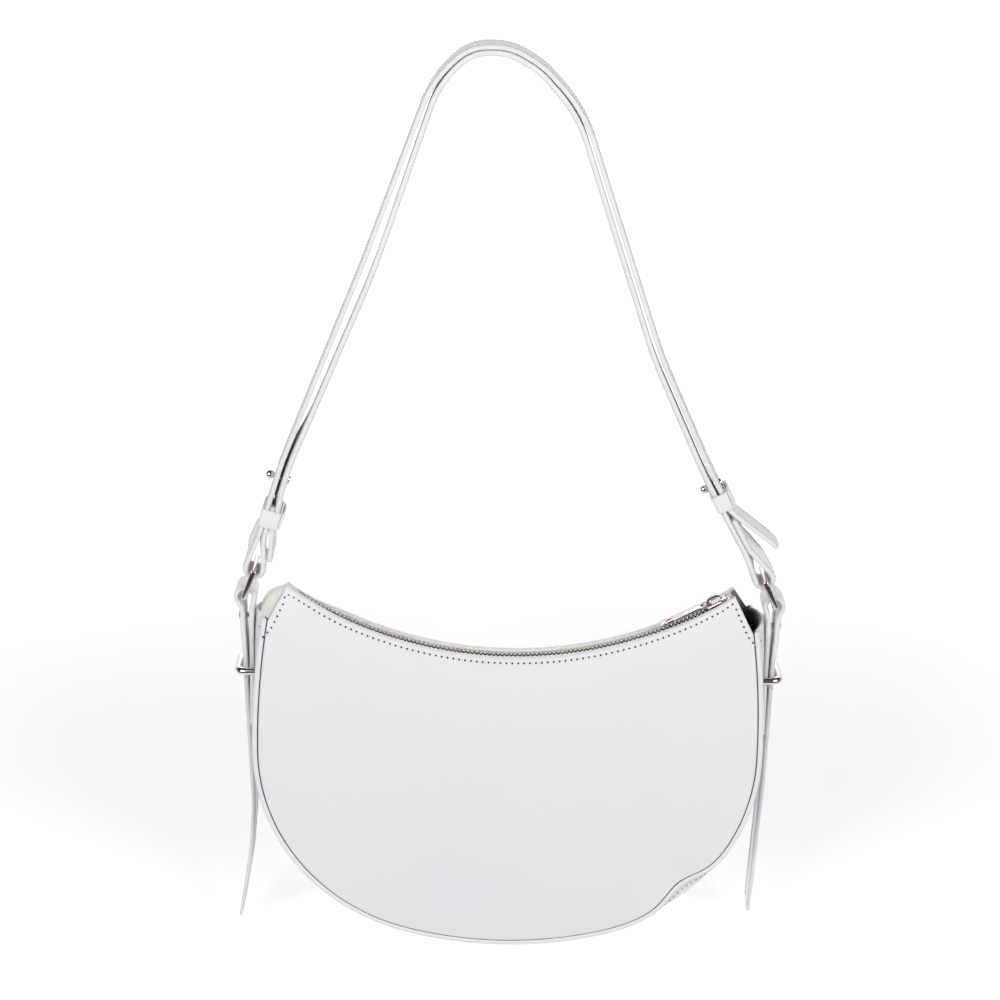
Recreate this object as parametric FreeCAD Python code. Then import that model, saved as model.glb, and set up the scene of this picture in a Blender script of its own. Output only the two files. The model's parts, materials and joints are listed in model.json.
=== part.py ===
import FreeCAD, Part
import math
import os

os.makedirs("parts", exist_ok=True)
V = FreeCAD.Vector
ACROSS = V(0, 1, 0)

# The bag is drawn with X from its middle, Y to the back and Z up from its lowest point, in millimetres.
# It is then tilted a little and the whole object is moved so that the hang point is the origin.

# Bag body, seen from the front
HALF_WIDTH = 138.0
CORNER_RADIUS = 111.6
BOTTOM_RADIUS = 215.0
SIDE_RADIUS = 500.0
MOUTH_CORNER_INSET = 15.6
MOUTH_RADIUS = 210.0
MOUTH_LOW_Z = 167.0
NOTCH_Z = 190.6
BAG_TILT = 1.2
TILT_CENTRE_Z = 130.0

# Bag body, seen from the side: half depth against the distance below the mouth
MOUTH_HALF_DEPTH = 7.0
SHOULDER_DEPTH = 12.0
SHOULDER_LENGTH = 24.0
DEPTH_SLOPE = 0.06
PROFILE_STEPS = 7
PROFILE_SPARE = 9.6
PROFILE_SPARE_ANGLE = 6.0

# Leather and lining
PANEL_THICKNESS = 2.0
GUSSET_WALL = 3.2
SEAM_GAP = 0.4
SEAM_STEP = 0.8
SEAM_ALLOWANCE = 6.0
ALLOWANCE_THICKNESS = 1.5
ALLOWANCE_GAP = 0.1
ALLOWANCE_JOIN = 0.2
LINING_THICKNESS = 0.8
SOFT_GAP = 0.3
LINING_DROP = 10.0

# Zip
TAPE_THICKNESS = 0.8
TAPE_DROP = 1.75
TAPE_FLANGE = 8.0
TAPE_END_INSET = 2.8
TAPE_TEETH_GAP = 0.1
TOOTH_PITCH = 2.4
TOOTH_LENGTH = 1.3
TOOTH_REACH = 2.4
TOOTH_RISE = 0.85
TOOTH_HEIGHT = 2.5
CHAIN_SLOT = 1.0
CHAIN_LEFT_INSET = 6.9
CHAIN_RIGHT_INSET = 7.6
STOP_LENGTH = 2.0
STOP_SPACE = 0.4
ZIP_CLEARANCE = 0.25
ZIP_END_WIDTH = 11.0
ZIP_END_SIDE_GAP = 0.9
ZIP_END_FALL = 1.0
ZIP_END_DROP = 15.0
ZIP_END_BEND = 5.0

# Zip slider and pull
SLIDER_INSET = 12.05
SLIDER_LENGTH = 13.0
SLIDER_WIDTH = 8.6
SLIDER_PLATE = 1.2
SLIDER_CORNER = 2.15
KEEL_LENGTH = 4.0
KEEL_THICKNESS = 0.5
BRIDGE_LENGTH = 10.0
BRIDGE_WIDTH = 2.8
BRIDGE_BAR = 1.4
BRIDGE_ROOM = 2.6
BRIDGE_BEND = 2.1
PULL_LENGTH = 30.0
PULL_WIDTH = 6.4
PULL_THICKNESS = 1.4
PULL_EYE_LENGTH = 6.0
PULL_EYE_ARM = 1.2
PULL_BAR_RADIUS = 0.75
PULL_REST_ANGLE = 5.0
PULL_PIVOT_SHIFT = 2.4
PULL_SLOT_LENGTH = 4.0
PULL_SLOT_WIDTH = 2.0
PULL_SLOT_INSET = 3.0
PULL_CORNER = 1.6

# Side tabs, rings and loops
STRIP_WIDTH = 18.0
TAB_THICKNESS = 2.8
TAB_SEAT_GAP = 0.05
TAB_LEAN_IN = 0.3
TAB_LAYER_GAP = 2.1
TAB_WAIST_RISE = 2.4
TAB_LOOP_RADIUS = 4.9
TAB_BEND = 12.0
TAB_BEND_BELOW_RIVET = 6.0
TAB_BEND_ABOVE_LOOP = 7.2
TAB_END_DROP = 5.0
LEFT_ROD_OUT = 3.1
RIGHT_ROD_OUT = 2.3
ROD_RISE = 9.6
ROD_RADIUS = 1.7
ROD_CLEARANCE = 0.35
RING_SPACING = 14.5
LEFT_RING_LEAN = 20.5
RIGHT_RING_LEAN = 22.5
RING_BAR_WIDTH = 3.0
RING_BAR_THICKNESS = 2.8
RING_SIDE_GAP = 0.5
RIVET_DROP = 6.0
RIVET_RADIUS = 1.6
RIVET_HOLE_GAP = 0.1
RIVET_HEAD_RADIUS = 3.0
RIVET_HEAD_RISE = 1.6
RIVET_HEAD_ROUND = 1.25
RIVET_CAP_RISE = 1.2
SIDE_LOOP_DROP = 30.0
SIDE_LOOP_BAR = 3.6
SIDE_LOOP_ROOM = 1.1
SIDE_LOOP_SIDE_ROOM = 1.2
SIDE_LOOP_CORNER = 4.0
SIDE_LOOP_SEAT = 2.6
SIDE_LOOP_HOLE_GAP = 0.1

# Hanging tails of the side tabs: points (x, z) below the hinge and the bend radius there
TAIL_LAYER_GAP = 0.9
TAIL_HINGE_DROP = 5.0
TAIL_GAP = 0.3
TIP_RADIUS = 5.0
LEFT_TAIL_ROUTE = ((1.0, -80.5, 140.0), (-2.0, -110.0, 120.0), (-9.7, -154.0, 0.0))
RIGHT_TAIL_ROUTE = ((-2.0, -62.0, 300.0), (-6.8, -147.0, 0.0))

# Shoulder strap: the two layers' shared middle line over the top (x, z, bend radius, half spacing)
STRAP_THICKNESS = 2.6
LAYER_STEP = 2.85
LEFT_HALF_STEP = 2.3
RIGHT_HALF_STEP = 1.9
STRAP_TOP_ROUTE = (
    (-72.6, 387.2, 400.0, 3.15),
    (-36.3, 483.7, 55.0, 1.7),
    (-18.5, 499.0, 22.0, 1.5),
    (0.5, 499.0, 28.0, 1.5),
    (16.5, 489.6, 45.0, 1.5),
    (36.3, 467.7, 75.0, 1.7),
    (78.4, 338.6, 250.0, 1.9),
)
LEFT_LEG_TURN = -3.08
RIGHT_LEG_TURN = 1.49
LEFT_LEG_LENGTH = 64.1
RIGHT_LEG_LENGTH = 71.0
LEFT_LEG_BEND = 200.0
RIGHT_LEG_BEND = 250.0
STRAP_LOOP_RADIUS = 4.8
STRAP_LOOP_NECK = 20.0
STRAP_NECK_BEND = 20.0
LAYER_JOG_LENGTH = 8.0
LAYER_JOG_BEND = 10.0
LAYER_JOG_START = 1.5

# Keepers and studs, as distances up the strap from the ring's rod
LEFT_KEEPER_AT = 32.2
RIGHT_KEEPER_AT = 52.6
KEEPER_LENGTH = 10.0
KEEPER_WALL = 1.2
KEEPER_CLEARANCE = 0.35
LEFT_RETURN_END = 38.4
RIGHT_RETURN_END = 40.0
LEFT_STUD_AT = 53.8
RIGHT_STUD_AT = 60.8
STUD_BALL_RADIUS = 2.5
STUD_BALL_STANDOFF = 0.15
STUD_NECK_RADIUS = 1.3
STUD_BASE_RADIUS = 3.2
STUD_BASE_THICKNESS = 0.8
STUD_HOLE_GAP = 0.2
STUD_SCREW_RADIUS = 1.0
STUD_SCREW_GAP = 0.05
STUD_SCREW_DEPTH = 3.0
STUD_SCREW_HEAD_RADIUS = 2.4
STUD_SCREW_HEAD = 1.2
STUD_HOLE_REACH = 8.5
STUD_BORE_PAST = 1.0

# Loose strap ends: bend point (along, across) and tip (along, across) from the ring's rod
LEFT_END_BEND = (26.5, 15.0)
LEFT_END_TIP = (7.6, 6.8)
RIGHT_END_BEND = (45.0, 15.0)
RIGHT_END_TIP = (14.7, 14.3)

# Worked out from the sizes above
MOUTH_CENTRE_Z = MOUTH_LOW_Z + MOUTH_RADIUS
MOUTH_HALF_WIDTH = HALF_WIDTH - MOUTH_CORNER_INSET
WIDEST_Z = BOTTOM_RADIUS - math.sqrt((BOTTOM_RADIUS - CORNER_RADIUS) ** 2 - (HALF_WIDTH - CORNER_RADIUS) ** 2)
MOUTH_CORNER_Z = MOUTH_CENTRE_Z - math.sqrt(MOUTH_RADIUS ** 2 - MOUTH_HALF_WIDTH ** 2)
PROFILE_DEPTH = MOUTH_LOW_Z + PROFILE_SPARE
MOUTH_HALF_ANGLE = math.degrees(math.asin(MOUTH_HALF_WIDTH / MOUTH_RADIUS))
PROFILE_HALF_ANGLE = MOUTH_HALF_ANGLE + PROFILE_SPARE_ANGLE
GUSSET_OUT = SEAM_GAP + GUSSET_WALL
HALF_STRIP = STRIP_WIDTH / 2
TEETH_OUT = CHAIN_SLOT / 2 + TOOTH_REACH
TEETH_TOP = MOUTH_RADIUS + TAPE_DROP - TOOTH_RISE
TEETH_BOTTOM = TEETH_TOP + TOOTH_HEIGHT
TAB_WAIST_Z = NOTCH_Z + TAB_WAIST_RISE
ROD_Z = TAB_WAIST_Z + ROD_RISE
RIVET_Z = TAB_WAIST_Z - RIVET_DROP
SIDE_LOOP_Z = RIVET_Z - SIDE_LOOP_DROP
TAIL_HINGE_Z = SIDE_LOOP_Z - TAIL_HINGE_DROP
TAB_END_Z = TAIL_HINGE_Z - TAB_END_DROP
SIDE_LOOP_HALF_WIDTH = HALF_STRIP + SIDE_LOOP_SIDE_ROOM + SIDE_LOOP_BAR / 2
PAST = 400.0
SHORTEST_EDGE = 0.001
SAME_PLACE = 0.01


def half_depth(drop):
    """Half depth of the bag at a distance below the mouth's edge."""
    return MOUTH_HALF_DEPTH + SHOULDER_DEPTH * (1 - math.exp(-drop / SHOULDER_LENGTH)) + DEPTH_SLOPE * drop


def seam_x(z):
    """Half width of the seam above the widest level."""
    return HALF_WIDTH - SIDE_RADIUS + math.sqrt(SIDE_RADIUS ** 2 - (z - WIDEST_Z) ** 2)


def zip_angle(inset):
    """Angle along the zip, from its lowest point, of a spot at a distance from the mouth's corner."""
    return MOUTH_HALF_ANGLE - math.degrees(inset / (MOUTH_RADIUS + TAPE_DROP))


TAPE_HALF_ANGLE = zip_angle(TAPE_END_INSET)
CHAIN_LEFT_ANGLE = -zip_angle(CHAIN_LEFT_INSET)
CHAIN_RIGHT_ANGLE = zip_angle(CHAIN_RIGHT_INSET)
SLIDER_ANGLE = zip_angle(SLIDER_INSET)
TAB_END_X = seam_x(TAB_END_Z) + GUSSET_OUT + TAB_SEAT_GAP + TAB_THICKNESS / 2
TAB_INNER_X = TAB_END_X - TAB_LEAN_IN
TAB_OUTER_X = TAB_INNER_X + TAB_THICKNESS + TAB_LAYER_GAP
TAIL_X = TAB_INNER_X + TAB_THICKNESS + TAIL_LAYER_GAP
LEFT_ROD_X = TAB_INNER_X + LEFT_ROD_OUT
RIGHT_ROD_X = TAB_INNER_X + RIGHT_ROD_OUT
SIDE_LOOP_REACH = TAIL_X + TAB_THICKNESS / 2 + SIDE_LOOP_ROOM + SIDE_LOOP_BAR


def on_circle(centre_x, centre_z, radius, degrees):
    """Point of a circle in the XZ plane, with the angle from +X towards +Z."""
    turn = math.radians(degrees)
    return V(centre_x + radius * math.cos(turn), 0, centre_z + radius * math.sin(turn))


def arc(centre_x, centre_z, radius, start, end):
    """Arc edge of a circle in the XZ plane."""
    points = [on_circle(centre_x, centre_z, radius, a) for a in (start, (start + end) / 2, end)]
    return Part.Arc(*points).toShape()


def line(start, end):
    """Straight edge."""
    return Part.LineSegment(start, end).toShape()


def prism(edges):
    """Solid that runs from front to back behind a closed outline in the XZ plane."""
    face = Part.Face(Part.Wire(edges))
    face.translate(V(0, -PAST / 2, 0))
    return face.extrude(V(0, PAST, 0))


def lower_edges(offset):
    """Edges round the bag from the right notch, by the bottom, to the left notch."""
    side_turn = math.degrees(math.asin((NOTCH_Z - WIDEST_Z) / (SIDE_RADIUS + offset)))
    corner_turn = math.degrees(math.atan2(BOTTOM_RADIUS - WIDEST_Z, HALF_WIDTH - CORNER_RADIUS))
    side_x = HALF_WIDTH - SIDE_RADIUS
    corner_x = HALF_WIDTH - CORNER_RADIUS
    return [
        arc(side_x, WIDEST_Z, SIDE_RADIUS + offset, side_turn, 0),
        arc(corner_x, WIDEST_Z, CORNER_RADIUS + offset, 0, -corner_turn),
        arc(0, BOTTOM_RADIUS, BOTTOM_RADIUS + offset, -corner_turn, corner_turn - 180),
        arc(-corner_x, WIDEST_Z, CORNER_RADIUS + offset, corner_turn - 180, -180),
        arc(-side_x, WIDEST_Z, SIDE_RADIUS + offset, 180, 180 - side_turn),
    ]


def panel_block(offset, drop):
    """Block with the outline of a panel: mouth, notches, sides and bottom."""
    lower = lower_edges(offset)
    radius = MOUTH_RADIUS + drop
    half = MOUTH_HALF_WIDTH + offset
    turn = math.degrees(math.asin(half / radius))
    mouth = arc(0, MOUTH_CENTRE_Z, radius, -90 - turn, -90 + turn)
    left = on_circle(0, MOUTH_CENTRE_Z, radius, -90 - turn)
    right = on_circle(0, MOUTH_CENTRE_Z, radius, -90 + turn)
    start = lower[0].firstVertex().Point
    end = lower[-1].lastVertex().Point
    return prism(lower + [line(end, left), mouth, line(right, start)])


def lower_block(offset):
    """Block with the outline below the notches, cut level at the top."""
    lower = lower_edges(offset)
    return prism(lower + [line(lower[-1].lastVertex().Point, lower[0].firstVertex().Point)])


def sweep(face, half_angle):
    """Turn a section at X = 0 about the mouth's axis, the same angle to both sides."""
    axis = V(0, 0, MOUTH_CENTRE_Z)
    face.rotate(axis, ACROSS, -half_angle)
    return face.revolve(axis, ACROSS, 2 * half_angle)


def front_curve(inset, top, bottom):
    """Front depth curve in the plane X = 0, moved back by inset, between two distances below the mouth."""
    drops = [top + (bottom - top) * (step / PROFILE_STEPS) ** 2 for step in range(PROFILE_STEPS + 1)]
    points = [V(0, inset - half_depth(drop), MOUTH_LOW_Z - drop) for drop in drops]
    curve = Part.BSplineCurve()
    curve.interpolate(points)
    return curve.toShape(), points[0], points[-1]


def front_sheet(outer, inner, top, bottom):
    """Swept sheet that follows the front between two insets."""
    near, near_top, near_bottom = front_curve(outer, top, bottom)
    far, far_top, far_bottom = front_curve(inner, top, bottom)
    edges = Part.__sortEdges__([near, line(near_bottom, far_bottom), far, line(far_top, near_top)])
    return sweep(Part.Face(Part.Wire(edges)), PROFILE_HALF_ANGLE)


def core(inset):
    """Swept body between the front and the back, with both moved in by inset."""
    front, front_top, front_bottom = front_curve(inset, 0, PROFILE_DEPTH)
    back = front.mirror(V(0, 0, 0), ACROSS)
    back_top = V(0, -front_top.y, front_top.z)
    back_bottom = V(0, -front_bottom.y, front_bottom.z)
    edges = Part.__sortEdges__([front, line(front_bottom, back_bottom), back, line(back_top, front_top)])
    return sweep(Part.Face(Part.Wire(edges)), PROFILE_HALF_ANGLE)


def to_back(shape):
    """Mirror from the front to the back."""
    return shape.mirror(V(0, 0, 0), ACROSS)


def to_left(shape):
    """Mirror from the right to the left."""
    return shape.mirror(V(0, 0, 0), V(1, 0, 0))


def box(x_range, y_range, z_range):
    """Box between three pairs of limits."""
    size = [high - low for low, high in (x_range, y_range, z_range)]
    return Part.makeBox(*size, V(x_range[0], y_range[0], z_range[0]))


def rod(start, end, radius):
    """Cylinder between two points."""
    return Part.makeCylinder(radius, (end - start).Length, start, end - start)


def upright_edges(shape):
    """Edges of a shape that run straight up."""
    return [edge for edge in shape.Edges if edge.BoundBox.DiagonalLength - edge.BoundBox.ZLength < SAME_PLACE]


def route_segments(route, offset):
    """Lines and arcs along a route of (x, z, bend radius), moved to its left by offset."""
    spots = [(x, z) for x, z, bend in route]
    runs = []
    for (x0, z0), (x1, z1) in zip(spots, spots[1:]):
        length = math.hypot(x1 - x0, z1 - z0)
        runs.append(V((x1 - x0) / length, 0, (z1 - z0) / length))
    sides = [V(-run.z, 0, run.x) for run in runs]
    here = V(spots[0][0], 0, spots[0][1]) + sides[0] * offset
    segments = []
    for index in range(1, len(route) - 1):
        into, out = runs[index - 1], runs[index]
        turn = math.atan2(into.x * out.z - into.z * out.x, into.dot(out))
        middle = sides[index - 1] + sides[index]
        middle.normalize()
        corner = V(spots[index][0], 0, spots[index][1]) + middle * (offset / math.cos(turn / 2))
        bend = route[index][2] - offset * math.copysign(1, turn)
        back = bend * math.tan(abs(turn) / 2)
        start, end = corner - into * back, corner + out * back
        inward = middle * math.copysign(1, turn)
        apex = corner + inward * (bend / math.cos(turn / 2) - bend)
        segments.append((here, start))
        segments.append((start, apex, end))
        here = end
    segments.append((here, V(spots[-1][0], 0, spots[-1][1]) + sides[-1] * offset))
    return [segment for segment in segments if (segment[-1] - segment[0]).Length > SHORTEST_EDGE]


def edge_of(segment):
    """Edge of a line or an arc that is given by its points."""
    if len(segment) == 2:
        return line(*segment)
    return Part.Arc(*segment).toShape()


def strip(route, thickness, width, round_start=False):
    """Leather strip: a route in the XZ plane with a thickness, as wide as given from front to back."""
    left = route_segments(route, thickness / 2)
    right = [segment[::-1] for segment in reversed(route_segments(route, -thickness / 2))]
    edges = [edge_of(segment) for segment in left]
    edges.append(line(left[-1][-1], right[0][0]))
    edges += [edge_of(segment) for segment in right]
    if round_start:
        start = V(route[0][0], 0, route[0][1])
        run = V(route[1][0], 0, route[1][1]) - start
        run.normalize()
        edges.append(Part.Arc(right[-1][-1], start - run * (thickness / 2), left[0][0]).toShape())
    else:
        edges.append(line(right[-1][-1], left[0][0]))
    face = Part.Face(Part.Wire(edges))
    face.translate(V(0, -width / 2, 0))
    return face.extrude(V(0, width, 0))


def round_tip(shape, tip, width):
    """Round the two corners of a strip's free end, seen on its flat side."""
    corners = []
    for edge in shape.Edges:
        middle = edge.CenterOfMass
        flat = V(middle.x, 0, middle.z)
        at_corner = abs(abs(middle.y) - width / 2) < SAME_PLACE
        if at_corner and (flat - V(tip[0], 0, tip[1])).Length < SAME_PLACE:
            corners.append(edge)
    return shape.makeFillet(TIP_RADIUS, corners)


def loop_corner(neck, centre, radius, level, side):
    """Where the tangent from the neck of a loop to its circle meets the level line over the loop."""
    over, up = centre[0] - neck[0], centre[1] - neck[1]
    angle = math.atan2(up, over) + side * math.asin(radius / math.hypot(over, up))
    return neck[0] + (level - neck[1]) / math.tan(angle)


def tilted(x, z):
    """Place of a point of the bag once the bag is tilted."""
    turn = math.radians(BAG_TILT)
    up = z - TILT_CENTRE_Z
    return x * math.cos(turn) + up * math.sin(turn), TILT_CENTRE_Z - x * math.sin(turn) + up * math.cos(turn)


class StrapSide:
    """One end of the shoulder strap: u runs up the strap from the ring's rod, w runs across its layers."""

    def __init__(self, sign, rod_x, ring_lean, top_spot, leg_turn, half_step):
        low_x, low_z = tilted(sign * rod_x, ROD_Z)
        ring_turn = math.radians(ring_lean)
        self.low = V(low_x, 0, low_z)
        self.rod = self.low + V(-sign * math.sin(ring_turn), 0, math.cos(ring_turn)) * RING_SPACING
        direct = math.atan2(sign * (self.rod.x - top_spot[0]), top_spot[1] - self.rod.z)
        turn = direct + math.radians(leg_turn)
        self.along = V(-sign * math.sin(turn), 0, math.cos(turn))
        self.across = V(math.cos(turn), 0, sign * math.sin(turn))
        self.middle = half_step - LAYER_STEP
        self.close = 2 * half_step - LAYER_STEP

    def point(self, u, w):
        return self.rod + self.along * u + self.across * w

    def spot(self, u, w, bend=0.0):
        place = self.point(u, w)
        return (place.x, place.z, bend)

    def block(self, u_range, w_range, y_range):
        corners = [self.point(u_range[i], w_range[j]) for i, j in ((0, 0), (1, 0), (1, 1), (0, 1))]
        face = Part.Face(Part.makePolygon(corners + corners[:1]))
        face.translate(V(0, y_range[0], 0))
        return face.extrude(V(0, y_range[1] - y_range[0], 0))

    def pin(self, u, w_range, radius):
        return rod(self.point(u, w_range[0]), self.point(u, w_range[1]), radius)


LEFT = StrapSide(-1, LEFT_ROD_X, LEFT_RING_LEAN, STRAP_TOP_ROUTE[0], LEFT_LEG_TURN, LEFT_HALF_STEP)
RIGHT = StrapSide(1, RIGHT_ROD_X, RIGHT_RING_LEAN, STRAP_TOP_ROUTE[-1], RIGHT_LEG_TURN, RIGHT_HALF_STEP)


def panel():
    """Front panel of the body, cut to the outline of mouth, notches and seam."""
    sheet = front_sheet(0, PANEL_THICKNESS, 0, PROFILE_DEPTH)
    return sheet.common(panel_block(0, 0)).Solids[0]


def side_loop_path():
    """Middle line of the metal loop on the right side."""
    outer = SIDE_LOOP_REACH - SIDE_LOOP_BAR / 2
    inner = seam_x(SIDE_LOOP_Z) + GUSSET_OUT - SIDE_LOOP_SEAT
    turn = SIDE_LOOP_CORNER
    half = SIDE_LOOP_HALF_WIDTH
    cut = turn * (1 - math.sqrt(0.5))
    ends = [V(inner, -half, SIDE_LOOP_Z), V(inner, half, SIDE_LOOP_Z)]
    near = [V(outer - turn, -half, SIDE_LOOP_Z), V(outer - cut, cut - half, SIDE_LOOP_Z)]
    near.append(V(outer, turn - half, SIDE_LOOP_Z))
    far = [V(point.x, -point.y, point.z) for point in reversed(near)]
    return Part.Wire([
        line(ends[0], near[0]),
        Part.Arc(*near).toShape(),
        line(near[2], far[0]),
        Part.Arc(*far).toShape(),
        line(far[2], ends[1]),
    ])


def side_loop(extra=0.0):
    """Metal loop on the right side, or its room with some extra radius."""
    path = side_loop_path()
    start = path.Edges[0].firstVertex().Point
    ring = Part.Wire(Part.makeCircle(SIDE_LOOP_BAR / 2 + extra, start, V(1, 0, 0)))
    return path.makePipeShell([ring], True, False)


def gusset():
    """Band round the side and bottom, with the sewn edges turned in behind both panels."""
    band = lower_block(GUSSET_OUT).cut(lower_block(SEAM_GAP)).common(core(SEAM_STEP))
    behind = PANEL_THICKNESS + ALLOWANCE_GAP
    turned = front_sheet(behind, behind + ALLOWANCE_THICKNESS, 0, PROFILE_DEPTH)
    turned = turned.common(lower_block(SEAM_GAP + ALLOWANCE_JOIN)).cut(lower_block(-SEAM_ALLOWANCE))
    room = side_loop(SIDE_LOOP_HOLE_GAP)
    return band.fuse([turned, to_back(turned)]).cut([room, to_left(room)]).removeSplitter().Solids[0]


def linings():
    """Front lining, and the lining of the gusset."""
    behind = PANEL_THICKNESS + ALLOWANCE_GAP + ALLOWANCE_THICKNESS + SOFT_GAP
    band_out = SEAM_GAP - SOFT_GAP
    band = lower_block(band_out).cut(lower_block(band_out - LINING_THICKNESS)).common(core(behind))
    sheet = front_sheet(behind, behind + LINING_THICKNESS, LINING_DROP, PROFILE_DEPTH)
    inset = band_out - LINING_THICKNESS - SOFT_GAP
    return sheet.common(panel_block(inset, LINING_DROP)).Solids[0], band.Solids[0]


def zip_tape():
    """Front zip tape: a level strip beside the teeth and a flange sewn down behind the panel."""
    face_in = half_depth(TAPE_DROP) - PANEL_THICKNESS - SOFT_GAP
    top = MOUTH_LOW_Z - TAPE_DROP
    level = box((0, 1), (-face_in, -TEETH_OUT - TAPE_TEETH_GAP), (top - TAPE_THICKNESS, top))
    section = [face for face in level.Faces if abs(face.CenterOfMass.x) < SAME_PLACE][0]
    strip_part = sweep(section, TAPE_HALF_ANGLE)
    inset = PANEL_THICKNESS + SOFT_GAP
    near, near_top, near_bottom = front_curve(inset, TAPE_DROP, TAPE_FLANGE)
    far, far_top, far_bottom = front_curve(inset + TAPE_THICKNESS, TAPE_DROP, TAPE_FLANGE)
    edges = Part.__sortEdges__([near, line(near_bottom, far_bottom), far, line(far_top, near_top)])
    flange = sweep(Part.Face(Part.Wire(edges)), TAPE_HALF_ANGLE)
    return strip_part.fuse(flange).removeSplitter().Solids[0]


def at_angle(shape, degrees):
    """Turn something drawn at the lowest point of the mouth along the zip, positive to the right."""
    return shape.rotated(V(0, 0, MOUTH_CENTRE_Z), ACROSS, -degrees)


def chain_block(length, y_range):
    """Block on the chain at its lowest point, as high as the teeth."""
    low, high = MOUTH_CENTRE_Z - TEETH_BOTTOM, MOUTH_CENTRE_Z - TEETH_TOP
    return box((-length / 2, length / 2), y_range, (low, high))


def zip_teeth():
    """Teeth of the front tape, one beside the other along the chain."""
    tooth = chain_block(TOOTH_LENGTH, (-TEETH_OUT, -CHAIN_SLOT / 2))
    step = math.degrees(TOOTH_PITCH / (MOUTH_RADIUS + TAPE_DROP))
    count = int((CHAIN_RIGHT_ANGLE - CHAIN_LEFT_ANGLE) / step)
    return Part.makeCompound([at_angle(tooth, CHAIN_LEFT_ANGLE + step * index) for index in range(count + 1)])


def zip_stops():
    """Bottom stop across both tapes at the left end, and a top stop on each tape at the right end."""
    beyond = math.degrees((TOOTH_LENGTH / 2 + STOP_SPACE + STOP_LENGTH / 2) / (MOUTH_RADIUS + TAPE_DROP))
    bottom = at_angle(chain_block(STOP_LENGTH, (-TEETH_OUT, TEETH_OUT)), CHAIN_LEFT_ANGLE - beyond)
    top = at_angle(chain_block(STOP_LENGTH, (-TEETH_OUT, -CHAIN_SLOT / 2)), CHAIN_RIGHT_ANGLE + beyond)
    return Part.makeCompound([bottom, top, to_back(top)])


def zip_end():
    """Tape end that folds over and down into the bag at the left notch."""
    start = on_circle(0, MOUTH_CENTRE_Z, MOUTH_RADIUS + TAPE_DROP, -90 - TAPE_HALF_ANGLE)
    turn = math.radians(TAPE_HALF_ANGLE)
    lift = TAPE_THICKNESS / 2
    begin = V(start.x - math.cos(turn) * SOFT_GAP - math.sin(turn) * lift, 0, start.z)
    lining_x = seam_x(NOTCH_Z) + SEAM_GAP - SOFT_GAP - LINING_THICKNESS
    end_x = ZIP_END_SIDE_GAP + TAPE_THICKNESS / 2 - lining_x
    end_z = begin.z - ZIP_END_FALL
    route = (
        (begin.x, begin.z, 0.0),
        (end_x, end_z, ZIP_END_BEND),
        (end_x, end_z - ZIP_END_DROP, 0.0),
    )
    return strip(route, TAPE_THICKNESS, ZIP_END_WIDTH)


def slider_heights():
    """Levels on the slider at the lowest point: under plate, chain room, top plate and pull axis."""
    top_low = MOUTH_CENTRE_Z - TEETH_TOP + ZIP_CLEARANCE
    under_high = MOUTH_CENTRE_Z - TEETH_BOTTOM - ZIP_CLEARANCE
    top_high = top_low + SLIDER_PLATE
    axis = top_high + ZIP_CLEARANCE + PULL_BAR_RADIUS
    return under_high - SLIDER_PLATE, under_high, top_low, top_high, axis


def zip_slider():
    """Slider: two plates round the chain, a keel between the tapes and a bridge for the pull."""
    low, under_high, top_low, top_high, axis = slider_heights()
    half = SLIDER_LENGTH / 2
    wide = (-SLIDER_WIDTH / 2, SLIDER_WIDTH / 2)
    under = box((-half, half), wide, (low, under_high))
    over = box((-half, half), wide, (top_low, top_high))
    over = over.makeFillet(SLIDER_CORNER, upright_edges(over))
    keel = box((half - KEEL_LENGTH, half), (-KEEL_THICKNESS / 2, KEEL_THICKNESS / 2), (low, top_high))
    foot = BRIDGE_LENGTH / 2
    crown = top_high + BRIDGE_ROOM + BRIDGE_BAR
    route = (
        (-foot + BRIDGE_BAR / 2, top_high - SLIDER_PLATE / 2, 0.0),
        (-foot + BRIDGE_BAR / 2, crown - BRIDGE_BAR / 2, BRIDGE_BEND),
        (foot - BRIDGE_BAR / 2, crown - BRIDGE_BAR / 2, BRIDGE_BEND),
        (foot - BRIDGE_BAR / 2, top_high - SLIDER_PLATE / 2, 0.0),
    )
    bridge = strip(route, BRIDGE_BAR, BRIDGE_WIDTH)
    return at_angle(under.fuse([over, keel, bridge]).removeSplitter().Solids[0], SLIDER_ANGLE)


def zip_pull():
    """Pull: a bar under the bridge, two arms round it and a plate with a slot at its free end."""
    axis_z = slider_heights()[-1]
    axis = V(-PULL_PIVOT_SHIFT, 0, axis_z)
    half = PULL_WIDTH / 2
    thick = (axis_z - PULL_THICKNESS / 2, axis_z + PULL_THICKNESS / 2)
    start = axis.x - PULL_EYE_LENGTH
    end = axis.x - PULL_LENGTH
    plate = box((end, start), (-half, half), thick)
    rounded = [edge for edge in upright_edges(plate) if abs(edge.CenterOfMass.x - end) < SAME_PLACE]
    plate = plate.makeFillet(PULL_CORNER, rounded)
    slot_x = end + PULL_SLOT_INSET
    slot = box((slot_x, slot_x + PULL_SLOT_LENGTH), (-PULL_SLOT_WIDTH / 2, PULL_SLOT_WIDTH / 2), thick)
    bar = rod(axis - ACROSS * half, axis + ACROSS * half, PULL_BAR_RADIUS)
    sides = ((-half, PULL_EYE_ARM - half), (half - PULL_EYE_ARM, half))
    arms = [box((start, axis.x), limits, thick) for limits in sides]
    pull = plate.cut(slot).fuse(arms + [bar]).removeSplitter().Solids[0]
    pull.rotate(axis, ACROSS, PULL_REST_ANGLE)
    return at_angle(pull, SLIDER_ANGLE)


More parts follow.
